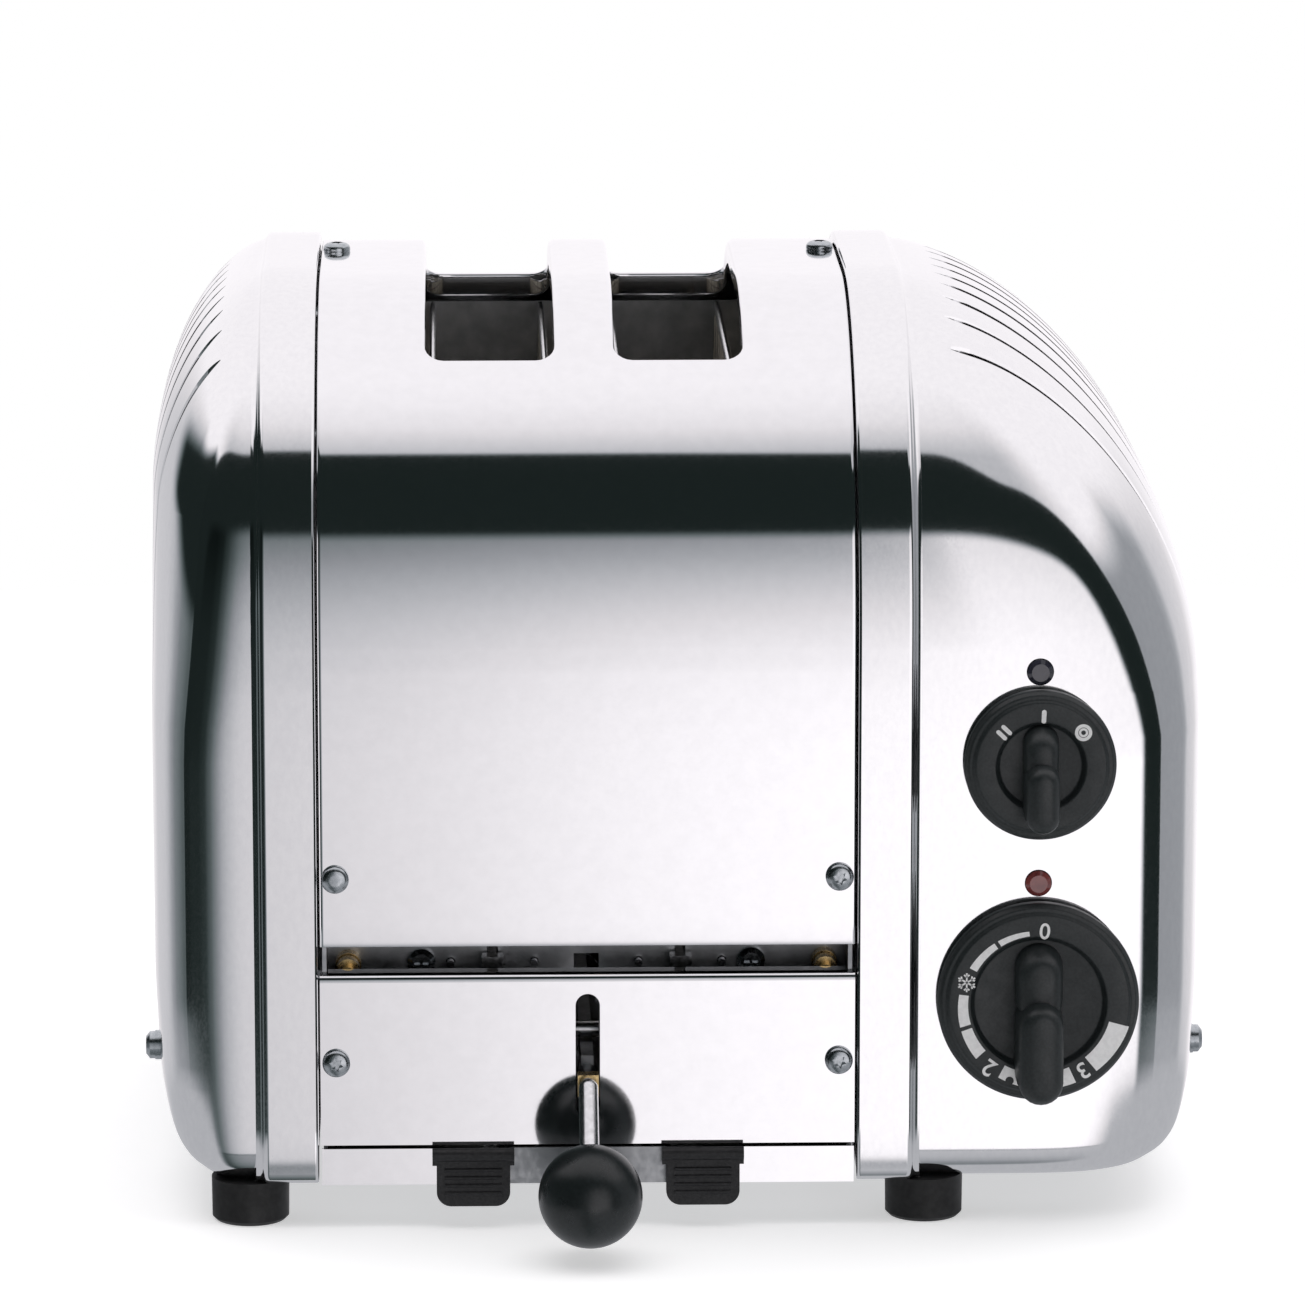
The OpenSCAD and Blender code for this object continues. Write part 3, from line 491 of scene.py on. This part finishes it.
def low_inset(h, col):
    """Smooth curve through the LOW table, without overshoot."""
    if h >= LOW[-1][0]:
        return 0.0
    k = max(i for i in range(len(LOW) - 1) if LOW[i][0] <= h)
    step = [(LOW[i + 1][col] - LOW[i][col]) / (LOW[i + 1][0] - LOW[i][0]) for i in range(len(LOW) - 1)]

    def slope(i):
        if i == 0:
            return step[0]
        if i == len(LOW) - 1:
            return 0.0
        a, b = step[i - 1], step[i]
        return 0.0 if a * b <= 0 else 2 * a * b / (a + b)

    w = LOW[k + 1][0] - LOW[k][0]
    t = (h - LOW[k][0]) / w
    p0, p1, m0, m1 = LOW[k][col], LOW[k + 1][col], slope(k) * w, slope(k + 1) * w
    return ((2 * t ** 3 - 3 * t * t + 1) * p0 + (t ** 3 - 2 * t * t + t) * m0
            + (-2 * t ** 3 + 3 * t * t) * p1 + (t ** 3 - t * t) * m1)


def plan_n(z, low):
    """Squareness of the plan outline at a height: boxy low down, round at the top."""
    return low if z <= PLAN_Z else low * (TOP_PLAN_N / low) ** (((z - PLAN_Z) / (SKIN_TOP - PLAN_Z)) ** 0.75)


def plan_quarter(n, front=30, side=34):
    """Unit quarter outline from (0, 1) to (1, 0), with points crowded round the corner."""
    d = 2 ** (-1 / n)
    us = [d * sin(pi / 2 * i / front) for i in range(front)]
    vs = [d * sin(pi / 2 * (1 - i / side)) for i in range(side + 1)]
    return [(u, (1 - u ** n) ** (1 / n)) for u in us] + [((1 - v ** n) ** (1 / n), v) for v in vs]


def dome_shell(name, sgn, xe, b, low_n):
    x0, x_in = BAND_OUT + 1, BAND_OUT - 3
    hd, top, r = SKIN_Y, SKIN_TOP, SHOULDER_R - BAND_STEP
    levels = [(UNDER_Z + h, xe - low_inset(h, 1), hd - low_inset(h, 2)) for h in LOW_ROWS]
    z_side = top - b
    z_low = UNDER_Z + LOW_ROWS[-1]
    levels += [(z_low + (z_side - z_low) * i / 14, xe, None) for i in range(1, 14)]
    for t in [pi / 2 * (1 - i / DOME_ROWS) for i in range(DOME_ROWS)]:
        levels.append((dome_z(t, top, b), dome_x(t, x0, xe), None))
    levels.append((top - 0.003, x0 + 0.02, None))
    verts = []
    for z, xs, h in levels:
        h = arch_half(z, hd, top, r) if h is None else h
        quarter = [(x0 + (xs - x0) * u, -h * v) for u, v in plan_quarter(plan_n(z, low_n))]
        row = [(x_in, -h)] + quarter + [(x, -y) for x, y in quarter[-2::-1]] + [(x_in, h)]
        n = len(row)
        verts += [at(sgn * x, y, z) for x, y in row]
    faces = []
    for i in range(len(levels) - 1):
        for j in range(n - 1):
            f = [i * n + j, i * n + j + 1, (i + 1) * n + j + 1, (i + 1) * n + j]
            faces.append(f if sgn > 0 else f[::-1])
    last = (len(levels) - 1) * n
    cap = [last + j for j in range(n)]
    faces.append(cap if sgn > 0 else cap[::-1])
    o = make(name, verts, faces, M["casting"], 40, recalc=False)
    md = o.modifiers.new("s", "SOLIDIFY")
    md.thickness = CAST_T / 1000
    md.offset = -1
    dg = bpy.context.evaluated_depsgraph_get()
    me = bpy.data.meshes.new_from_object(o.evaluated_get(dg))
    o.modifiers.clear()
    o.data = me
    return o


def vent_cutters(sgn, xe):
    """Upright slabs that taper to a point towards the band."""
    x0, w = BAND_OUT + VENT_START, VENT_W / 2
    plan = [(0, 0.15), (1.2, 0.5), (3.0, 0.85), (5.5, 1.0), (xe + 5 - x0, 1.0)]
    res = []
    for i in range(VENTS):
        y = (i - (VENTS - 1) / 2) * VENT_PITCH
        out = [(sgn * (x0 + a), y - w * k) for a, k in plan]
        out += [(sgn * (x0 + a), y + w * k) for a, k in plan[::-1]]
        # The slabs carry the near-black painted shade onto the slit walls they cut.
        res.append(prism("c", out, VENT_LOW, BODY_H + 5, at, M["painted_slit_shade"]))
    return res


def band(name, sgn):
    a, b = BAND_IN, BAND_OUT
    st = [(a, 0.7), (a + 0.2, 0.25), (a + 0.6, 0.0), (a + 0.9, 0.0)]
    st += [(a + 0.9 + (b - a - 2.3) * i / 5, 0.0) for i in range(1, 6)] + [(b - 1.1, 0.0)]
    st += [(b - 0.6, 0.12), (b - 0.15, 0.5), (b + 0.15, 1.0), (b + 0.5, 1.45), (b + 1.1, 1.8)]
    st += [(b + 1.8, 1.98), (b + 2.2, 2.6)]
    st = [(sgn * x, inset) for x, inset in st]
    return strip_shell(name, st, UNDER_Z, M["casting"], 4.5, (HALF_D, BODY_H, SHOULDER_R), 3.0)


def casting(name, sgn, xe, b, low_n):
    dome = dome_shell(name, sgn, xe, b, low_n)
    cutters = vent_cutters(sgn, xe)
    if sgn > 0:
        turns = [2 * pi * i / 48 for i in range(48)]
        bore = [(LAMP_BORE_R * cos(t), LAMP_BORE_R * sin(t)) for t in turns]
        for z in LAMP_HEIGHTS:
            put = lambda a, c, d, z=z: at(KNOB_X + a, -d, z + c)
            cutters.append(prism("c", bore, 90, 120, put, M["casting"]))
    cut(dome, cutters, 40)
    return join(name, [dome, band(name + "_band", sgn)])


for name, cad, sgn, xe, b, low_n in (
        ("left_casting_skin", "left_end_casting", -1, LEFT_END, LEFT_B, LEFT_PLAN_N),
        ("right_casting_skin", "right_end_casting", 1, RIGHT_END, RIGHT_B, RIGHT_PLAN_N)):
    o = casting(name, sgn, xe, b, low_n)
    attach(o, "housing")
    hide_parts(cad)


# ---------- knobs ----------
def knob_place(z):
    return lambda a, b, h: at(KNOB_X + a, -SKIN_Y - 0.6 - h, z + b)


FACE_H = 5.0


def ridge(name, levels, pl):
    """A grip bar of stacked capsule outlines. A level is (height, half width, upper end, lower end)."""
    n = 12
    verts, faces = [], []
    for h, hw, y1, y0 in levels:
        ring = [(hw * cos(pi * i / n), y1 - hw + hw * sin(pi * i / n)) for i in range(n + 1)]
        ring += [(hw * cos(pi + pi * i / n), y0 + hw + hw * sin(pi + pi * i / n)) for i in range(n + 1)]
        verts += [pl(a, b, h) for a, b in ring]
    m = 2 * (n + 1)
    for i in range(len(levels) - 1):
        a, b = i * m, (i + 1) * m
        faces += [[a + j, a + (j + 1) % m, b + (j + 1) % m, b + j] for j in range(m)]
    faces.append(list(range(m)))
    faces.append([(len(levels) - 1) * m + j for j in range(m)])
    return make(name, verts, faces, M["black"], 60)


def knob(name, d, hub, z, up, down, w_up, w_down, h_up, h_down, body, cad):
    pl = knob_place(z)
    r = d / 2
    prof = [(0, 0.0), (r - 0.5, 0.0), (r, 0.6), (r, 3.1), (r - 0.9, 4.3), (r - 1.9, 4.35), (r - 2.6, FACE_H)]
    prof += [(hub + 0.4, FACE_H), (hub - 0.5, 3.4), (0, 3.4)]
    disc = lathe(name, fillet(prof, 0.35), pl, M["black"], 160, 40)
    a, b = w_up / 2, w_down / 2
    low = [(3, b, 2.2, 0.4 - down), (h_down * 0.55, b * 0.97, 1.9, -down)]
    low += [(h_down - 2.6, b * 0.92, 1.5, -down)]
    low += [(h_down - 1.2, b * 0.80, 0.9, 0.6 - down), (h_down - 0.35, b * 0.58, 0.0, 1.7 - down)]
    low += [(h_down, b * 0.30, -1.2, 3.2 - down)]
    high = [(3, a, up, -4), (h_up * 0.6, a * 0.96, up - 0.9, -4), (h_up - 1.6, a * 0.88, up - 2.2, -4)]
    high += [(h_up - 0.5, a * 0.70, up - 3.6, -4), (h_up, a * 0.42, up - 5.2, -4)]
    o = join(name, [disc, ridge(name + "_low", low, pl), ridge(name + "_high", high, pl)])
    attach(o, body)
    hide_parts(cad)


knob("selector_knob_look", SELECTOR_D, 10.3, SELECTOR_Z, 10.2, 14.6, 8.6, 8.6, 10.0, 15.0,
     "selector", "selector_knob")
knob("timer_knob_look", TIMER_D, 15.8, TIMER_Z, 14.6, 22.4, 11.6, 11.4, 11.0, 17.0, "timer", "timer_knob")


# ---------- dial marks ----------
MARK_LOW, MARK_TOP = FACE_H - 0.1, FACE_H + 0.06


def flat_mark(name, outline, z, body, mat="mark", top=MARK_TOP):
    o = prism(name, outline, MARK_LOW, top, knob_place(z), M[mat])
    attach(o, body)


def polar(r, ang):
    a = math.radians(ang)
    return r * sin(a), r * cos(a)


def arc_block(r_in, r_out, a0, a1, n=12):
    """Ring sector between two angles, clockwise from the top; the radii are functions of the angle."""
    angs = [a0 + (a1 - a0) * i / n for i in range(n + 1)]
    return [polar(r_out(a), a) for a in angs] + [polar(r_in(a), a) for a in angs[::-1]]


def pill(r, ang, w, l, off=0.0, n=6):
    """Rounded bar whose length points outwards at an angle."""
    cx, cy = polar(r, ang)
    a = math.radians(ang)
    pts = []
    for s, start in ((1, 0), (-1, pi)):
        for i in range(n + 1):
            t = start + pi * i / n
            x, y = off + w / 2 * cos(t), s * (l - w) / 2 + w / 2 * sin(t)
            pts.append((cx + x * cos(a) + y * sin(a), cy - x * sin(a) + y * cos(a)))
    return pts


def ring_piece(name, z, r, ang, r0, r1, body):
    n = 40
    pl = knob_place(z)
    cx, cy = polar(r, ang)
    verts, faces = [], []
    for i in range(n):
        a = 2 * pi * i / n
        for rr, hh in ((r0, MARK_LOW), (r0, MARK_TOP), (r1, MARK_TOP), (r1, MARK_LOW)):
            verts.append(pl(cx + rr * cos(a), cy + rr * sin(a), hh))
    for i in range(n):
        k = (i + 1) % n
        faces += [[i * 4 + j, k * 4 + j, k * 4 + (j + 1) % 4, i * 4 + (j + 1) % 4] for j in range(4)]
    o = make(name, verts, faces, M["mark"])
    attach(o, body)


def digit(name, text, z, r, ang, size, body):
    """A numeral that stands upright when its angle is turned to the top."""
    cu = bpy.data.curves.new(name, "FONT")
    cu.body = text
    cu.extrude = 0.02
    cu.offset = 0.012
    o = bpy.data.objects.new(name + "_f", cu)
    bpy.context.scene.collection.objects.link(o)
    dg = bpy.context.evaluated_depsgraph_get()
    me = bpy.data.meshes.new_from_object(o.evaluated_get(dg))
    bpy.data.objects.remove(o)
    xs = [v.co.x for v in me.vertices]
    ys = [v.co.y for v in me.vertices]
    mx, my, k = (min(xs) + max(xs)) / 2, (min(ys) + max(ys)) / 2, size / (max(ys) - min(ys))
    pl = knob_place(z)
    cx, cy = polar(r, ang)
    t = math.radians(ang)
    for v in me.vertices:
        a, b = (v.co.x - mx) * k, (v.co.y - my) * k
        h = MARK_TOP if v.co.z > 0 else MARK_LOW
        v.co = pl(cx + a * cos(t) + b * sin(t), cy - a * sin(t) + b * cos(t), h)
    me.materials.clear()
    me.materials.append(M["mark"])
    p = bpy.data.objects.new(name, me)
    bpy.context.scene.collection.objects.link(p)
    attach(p, body)


def snowflake(name, z, r, ang, size, body):
    """Six arms, each with two small branches."""
    bars = []
    for k in range(6):
        bars.append((k * 60, 0.0, size, 0.0))
        bars += [(k * 60 + s * 50, size * 0.58, size * 0.36, k * 60) for s in (-1, 1)]
    parts = []
    cx, cy = polar(r, ang)
    for turn, start, length, arm in bars:
        bx, by = polar(start, arm) if start else (0.0, 0.0)
        ux, uy = polar(1.0, turn)
        w = 0.2
        corners = ((0, -w), (length, -w), (length, w), (0, w))
        out = [(cx + bx + ux * a + uy * b, cy + by + uy * a - ux * b) for a, b in corners]
        parts.append(prism(name, out, MARK_LOW, MARK_TOP, knob_place(z), M["mark"]))
    o = join(name, parts)
    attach(o, body)


flat_mark("selector_mark_one", pill(12.2, 2.5, 1.1, 3.3), SELECTOR_Z, "selector")
flat_mark("selector_mark_two_a", pill(12.2, -46.5, 1.0, 3.2, -0.85), SELECTOR_Z, "selector")
flat_mark("selector_mark_two_b", pill(12.2, -46.5, 1.0, 3.2, 0.85), SELECTOR_Z, "selector")
ring_piece("selector_mark_off", SELECTOR_Z, 12.9, 50, 1.25, 2.05, "selector")
ring_piece("selector_mark_off_inner", SELECTOR_Z, 12.9, 50, 0.55, 1.1, "selector")

# The timer's scale: angles are clockwise from the top, and the blocks widen along it.
TIMER_SPAN = 255.0
TIMER_BLOCKS = [(-8, -33), (-36, -62), (-83, -107), (-110, -132), (-152, -175), (-177.5, -205), (-220, -255)]


def scale_in(a):
    return 16.6 + 0.7 * abs(a) / TIMER_SPAN


def scale_out(a):
    return 17.6 + 4.6 * abs(a) / TIMER_SPAN


for k, (a0, a1) in enumerate(TIMER_BLOCKS):
    flat_mark(f"timer_block_{k + 1}", arc_block(scale_in, scale_out, a0, a1), TIMER_Z, "timer")
flat_mark("timer_dot", pill(20.0, -160, 2.0, 2.001, 0.0, 12), TIMER_Z, "timer", "black", MARK_TOP + 0.05)
digit("timer_digit_0", "0", TIMER_Z, 17.7, 4, 3.9, "timer")
digit("timer_digit_2", "2", TIMER_Z, 19.6, -143, 4.1, "timer")
digit("timer_digit_3", "3", TIMER_Z, 19.6, -213, 4.1, "timer")
snowflake("timer_snowflake", TIMER_Z, 18.0, -73, 2.3, "timer")


# ---------- screws ----------
def pan_head(name, base, out, segs=48):
    """Domed head with a six-point socket; base is the middle of its seat, out points off the face."""
    out = Vector(out)
    side = out.orthogonal().normalized()
    other = out.cross(side)

    def place(a, b, h):
        return at(*(Vector(base) + side * a + other * b + out * h))

    head = [(3.3, 0), (3.35, 0.4), (3.3, 1.0), (3.0, 1.55), (2.4, 1.95), (1.5, 2.15), (0, 2.2)]
    o = lathe(name, [(0, 0)] + fillet(head, 0.3), place, M["zinc"], segs, 40)
    star = [(rr * cos(pi * i / 6), rr * sin(pi * i / 6)) for i, rr in enumerate((1.75, 1.05) * 6)]
    return cut(o, [prism("c", star, 0.9, 3.0, place, M["zinc"])], 40)


heads = []
for s in (-1, 1):
    for z in SCREW_HEIGHTS:
        heads.append(pan_head("h", (s * SCREW_X, -SKIN_Y, z), (0, -1, 0)))
        heads.append(pan_head("h", (s * SCREW_X, SKIN_Y, z), (0, 1, 0)))
    heads.append(pan_head("h", (s * SCREW_X, SCREW_TOP_Y, SKIN_TOP), (0, 0, 1)))
screws = join("panel_screw_heads", heads)
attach(screws, "housing")
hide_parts("panel_screws")

# ---------- eject lever ----------
ROD_R = 2.3
ROD_Y = -SKIN_Y - 6 - ROD_R
tilt = math.atan2(ROD_Y - BALL_Y, STUD_Z - BALL_Z)
ax = Vector((0, -sin(tilt), -cos(tilt)))
ay = Vector((0, -cos(tilt), sin(tilt)))


def lever_place(base):
    def f(a, b, h):
        p = base + ax * h + ay * b + Vector((a, 0, 0))
        return at(*p)
    return f


ball_c = Vector((0, BALL_Y, BALL_Z))
mouth = 0.30
ball_prof = [(BALL_R * sin(a), -BALL_R * cos(a)) for a in [mouth + (pi - mouth) * i / 60 for i in range(61)]]
mouth_h = -BALL_R * cos(mouth)
ball_prof = [(ROD_R + 0.05, mouth_h + 1.2), (ROD_R + 0.25, mouth_h + 0.2)] + ball_prof
ball_prof[-1] = (0, BALL_R)
ball = lathe("ball_look", ball_prof, lever_place(ball_c), M["ball"], 96, 40)
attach(ball, "eject_lever")
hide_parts("lever_ball")

# ---------- carried-over CAD nodes ----------
LOOK = {
    "galv": ["left_side_plate", "right_side_plate", "front_frame_plate", "rear_frame_plate",
             "front_heat_plate", "rear_heat_plate", "base_plate", "left_bottom_plate",
             "right_bottom_plate", "lever_arm", "pivot_bracket", "heat_shield"],
    "sheet": ["front_lower_panel", "rear_lower_panel", "crumb_tray_left", "crumb_tray_right", "crumb_ridge"],
    "tab": ["tray_tab_left", "tray_tab_right"],
    "mica": ["heater_card_left", "heater_card_centre", "heater_card_right"],
    "ribbon": ["heater_ribbon_left", "heater_ribbon_centre", "heater_ribbon_right"],
    "wire": ["guard_left_outer", "guard_left_inner", "guard_right_inner", "guard_right_outer",
             "bread_rack_left", "bread_rack_right", "carriage_bar", "lever_rod"],
    "zinc": ["lever_pivot_rod", "selector_shaft", "timer_shaft", "foot_screws", "side_screws",
             "frame_screws"],
    "brass": ["lever_nut", "timer_bell", "brass_pillars"],
    "cream": ["selector_switch", "timer_body", "terminal_block"],
    "black": ["lamp_holders", "cable_gland"],
    "rubber": ["foot_front_left", "foot_front_right", "foot_rear_left", "foot_rear_right"],
    "lens_dark": ["upper_lamp"],
    "lens_red": ["red_lamp"],
}
for look, names in LOOK.items():
    for name in names:
        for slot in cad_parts[name].material_slots:
            slot.material = M[look]


# ---------- floor, world and lights ----------
bm = bmesh.new()
bmesh.ops.create_circle(bm, cap_ends=True, segments=128, radius=0.75)
floor_me = bpy.data.meshes.new("floor")
bm.to_mesh(floor_me)
bm.free()
floor = bpy.data.objects.new("floor", floor_me)
bpy.context.scene.collection.objects.link(floor)
# Painted light: the floor glows. Its emission is 0.5 near the middle and rises to 1.0 at the rim, while its
# colour darkens. This washes out its shading and blends it into the white backdrop.
fm, fnt, fb = new_mat("floor_white_glowing")
fvec = coords(fnt)
far = node(fnt, "ShaderNodeMapRange", interpolation_type="SMOOTHSTEP")
dist = node(fnt, "ShaderNodeVectorMath", operation="LENGTH")
fnt.links.new(fvec, dist.inputs[0])
fnt.links.new(dist.outputs["Value"], far.inputs["Value"])
for k, x in (("From Min", 0.12), ("From Max", 0.42), ("To Min", 0.50), ("To Max", 1.0)):
    far.inputs[k].default_value = x
grain = noise(fnt, fvec, 30, 2)
fade = ramp(fnt, far.outputs["Result"], [(0.5, (0.80, 0.80, 0.80)), (1.0, (0.02, 0.02, 0.02))])
fnt.links.new(fade, fb.inputs["Base Color"])
fnt.links.new(remap(fnt, grain, 0.85, 0.95, 0.3, 0.7), fb.inputs["Roughness"])
fb.inputs["Specular IOR Level"].default_value = 0.0
fb.inputs["Emission Color"].default_value = (1, 1, 1, 1)
fnt.links.new(far.outputs["Result"], fb.inputs["Emission Strength"])
floor_me.materials.append(fm)
floor.visible_glossy = False

world = bpy.data.worlds.new("studio")
bpy.context.scene.world = world
world.use_nodes = True
wt = world.node_tree
wt.nodes.clear()


def wmath(op, a, b=None):
    """One maths node; a and b are sockets or numbers."""
    n = node(wt, "ShaderNodeMath", operation=op)
    for i, v in enumerate((a, b)):
        if v is None:
            continue
        if isinstance(v, (int, float)):
            n.inputs[i].default_value = v
        else:
            wt.links.new(v, n.inputs[i])
    return n.outputs[0]


def wstep(v, lo, hi, a=0.0, b=1.0):
    """From a to b with a soft start and end as v goes from lo to hi."""
    n = node(wt, "ShaderNodeMapRange", interpolation_type="SMOOTHSTEP")
    wt.links.new(v, n.inputs["Value"])
    for k, x in (("From Min", lo), ("From Max", hi), ("To Min", a), ("To Max", b)):
        n.inputs[k].default_value = x
    return n.outputs["Result"]


def wramp(v, lo, hi, stops):
    """Piecewise straight curve of grey levels over a range in degrees."""
    n = node(wt, "ShaderNodeValToRGB")
    elements = n.color_ramp.elements
    while len(elements) < len(stops):
        elements.new(0.5)
    for e, (deg, g) in zip(elements, stops):
        e.position = (deg - lo) / (hi - lo)
        e.color = (g, g, g, 1)
    wt.links.new(wrange(v, rad(lo), rad(hi)), n.inputs["Fac"])
    return n.outputs["Color"]


def wrange(v, lo, hi):
    """0 at lo and 1 at hi, in a straight line."""
    n = node(wt, "ShaderNodeMapRange")
    wt.links.new(v, n.inputs["Value"])
    n.inputs["From Min"].default_value = lo
    n.inputs["From Max"].default_value = hi
    return n.outputs["Result"]


def wmix(a, b, t):
    """a where t is 0 and b where t is 1."""
    return wmath("ADD", wmath("MULTIPLY", a, wmath("SUBTRACT", 1.0, t)), wmath("MULTIPLY", b, t))


tc = node(wt, "ShaderNodeTexCoord")
sep = node(wt, "ShaderNodeSeparateXYZ")
wt.links.new(tc.outputs["Generated"], sep.inputs[0])
az = wmath("ARCTAN2", sep.outputs["X"], wmath("MULTIPLY", sep.outputs["Y"], -1))
az_abs = wmath("ABSOLUTE", az)
el = wmath("ARCSINE", sep.outputs["Z"])
el_up = wmath("MAXIMUM", el, 0.0)


def frame_dist(right_deg, left_deg, e_deg, p):
    """1 on a rounded frame that is so wide to each side and so high."""
    wide = wstep(az, -0.02, 0.02, rad(left_deg), rad(right_deg))
    u = wmath("POWER", wmath("DIVIDE", az_abs, wide), p)
    w = wmath("POWER", wmath("DIVIDE", el_up, e_deg), p)
    return wmath("POWER", wmath("ADD", u, w), 1 / p)


s_in = frame_dist(43, 60, rad(29.3), 5)
s_out = frame_dist(68, 77, wstep(az, rad(3), rad(30), rad(59.5), rad(51)), 3.5)
# The card in front of the panels: its grey across (by azimuth) and up (by elevation), in degrees.
across = wramp(az, -180, 180, [(-180, 0.02), (-35, 0.02), (-23, 0.035), (-15, 0.12), (-9, 0.28), (-4, 0.54),
                               (-2, 0.64), (-1.5, 0.72), (-0.9, 0.79), (0, 0.89), (1, 1.04), (1.65, 1.12),
                               (2.6, 1.18), (4, 1.24), (180, 1.24)])
height = wramp(el, -90, 90, [(-90, 0.12), (-55, 0.26), (-30, 0.42), (-24.5, 0.45), (-22.5, 0.30),
                             (-21.5, 0.95), (-12, 1.0), (-11.7, 0.96), (-11.4, 0.86), (-9.3, 0.81),
                             (-1.2, 0.725), (5, 0.64), (13, 0.52), (21.3, 0.38), (28.5, 0.27)])
near_right = wmath("MULTIPLY", wstep(az, rad(3.3), rad(4.6)), wstep(el, rad(-21), rad(-20)))
flatter = wmath("ADD", wmath("MULTIPLY", height, 0.4), 0.6)
card = wmath("MULTIPLY", across, wmix(height, flatter, near_right))
# The room at each side and behind.
side = wramp(az, -180, 180, [(-180, 0.92), (-173, 0.82), (-164, 0.64), (-144, 0.62), (-135, 0.54),
                             (-125, 0.37), (-112, 0.23), (-97, 0.17), (-84, 0.11), (0, 0.13), (60, 0.33),
                             (115, 0.35), (122, 0.40), (130, 0.66), (150, 0.76), (160, 0.98), (180, 1.1)])
side = wmath("MULTIPLY", side, wstep(el, rad(-60), rad(-20), 0.35, 1.0))
front_top = wramp(el, -90, 90, [(-90, 0.55), (59, 0.55), (64, 0.70), (70, 0.88), (80, 0.99), (90, 1.03)])
top = wmix(front_top, 1.03, wstep(az_abs, rad(35), rad(80)))
behind = wmath("MULTIPLY", wmath("MAXIMUM", wmath("SUBTRACT", az_abs, rad(110)), 0.0), 0.6)
rise = wmath("ADD", el, behind)
outside = wmix(side, top, wstep(rise, rad(24), rad(38)))
past_wing = wmath("MAXIMUM", wmath("SUBTRACT", az_abs, rad(77)), 0.0)
wing_top = wmath("SUBTRACT", rad(47), wmath("MULTIPLY", past_wing, 0.6))
wing = wmath("MULTIPLY", wstep(az, rad(-146), rad(-132)), wstep(az, rad(-60), rad(-50), 1.0, 0.0))
wing = wmath("MULTIPLY", wing, wstep(wmath("SUBTRACT", wing_top, el), rad(-3), rad(3)))
wing = wmath("MULTIPLY", wing, wstep(el, rad(-3), rad(4)))
outside = wmix(outside, 0.016, wing)
inner = wstep(s_in, 0.92, 1.06)
light = wmix(card, outside, wstep(s_out, 0.985, 1.015))
dark = wmath("MULTIPLY", inner, wstep(s_out, 0.985, 1.015, 1.0, 0.0))
tone = wmix(light, 0.015, dark)
low = wmath("MULTIPLY", wstep(el, rad(-18), rad(-14.5), 1.0, 0.0), wstep(az_abs, rad(12), rad(28)))
tone = wmix(tone, 0.5, low)
tints = [(0, (0.72, 1.12, 1.06)), (0.06, (0.82, 1.04, 1.06)), (0.3, (0.95, 0.99, 1.06))]
tints += [(0.8, (1.0, 0.97, 1.0))]
tint = node(wt, "ShaderNodeValToRGB")
while len(tint.color_ramp.elements) < len(tints):
    tint.color_ramp.elements.new(0.5)
for e, (pos, rgb) in zip(tint.color_ramp.elements, tints):
    e.position = pos
    e.color = (*rgb, 1)
wt.links.new(tone, tint.inputs["Fac"])
lp = node(wt, "ShaderNodeLightPath")
bg_a = node(wt, "ShaderNodeBackground")
bg_b = node(wt, "ShaderNodeBackground")
bg_b.inputs["Color"].default_value = (1, 1, 1, 1)
bg_b.inputs["Strength"].default_value = 1.0
wt.links.new(tint.outputs["Color"], bg_a.inputs["Color"])
wt.links.new(tone, bg_a.inputs["Strength"])
mix = node(wt, "ShaderNodeMixShader")
wt.links.new(lp.outputs["Is Camera Ray"], mix.inputs[0])
wt.links.new(bg_a.outputs[0], mix.inputs[1])
wt.links.new(bg_b.outputs[0], mix.inputs[2])
out = node(wt, "ShaderNodeOutputWorld")
wt.links.new(mix.outputs[0], out.inputs["Surface"])


def area(name, loc, aim, size, power):
    d = bpy.data.lights.new(name, "AREA")
    d.shape = "RECTANGLE"
    d.size, d.size_y = size
    d.energy = power
    o = bpy.data.objects.new(name, d)
    bpy.context.scene.collection.objects.link(o)
    o.location = Vector(loc)
    o.rotation_euler = (Vector(aim) - Vector(loc)).to_track_quat("-Z", "Y").to_euler()
    return o


soft = area("top_soft", (0.0, 0.1, 1.1), (0, 0, 0.1), (1.2, 0.8), 5)
soft.visible_glossy = False

bpy.context.scene.view_settings.view_transform = "Standard"
bpy.context.scene.view_settings.look = "None"
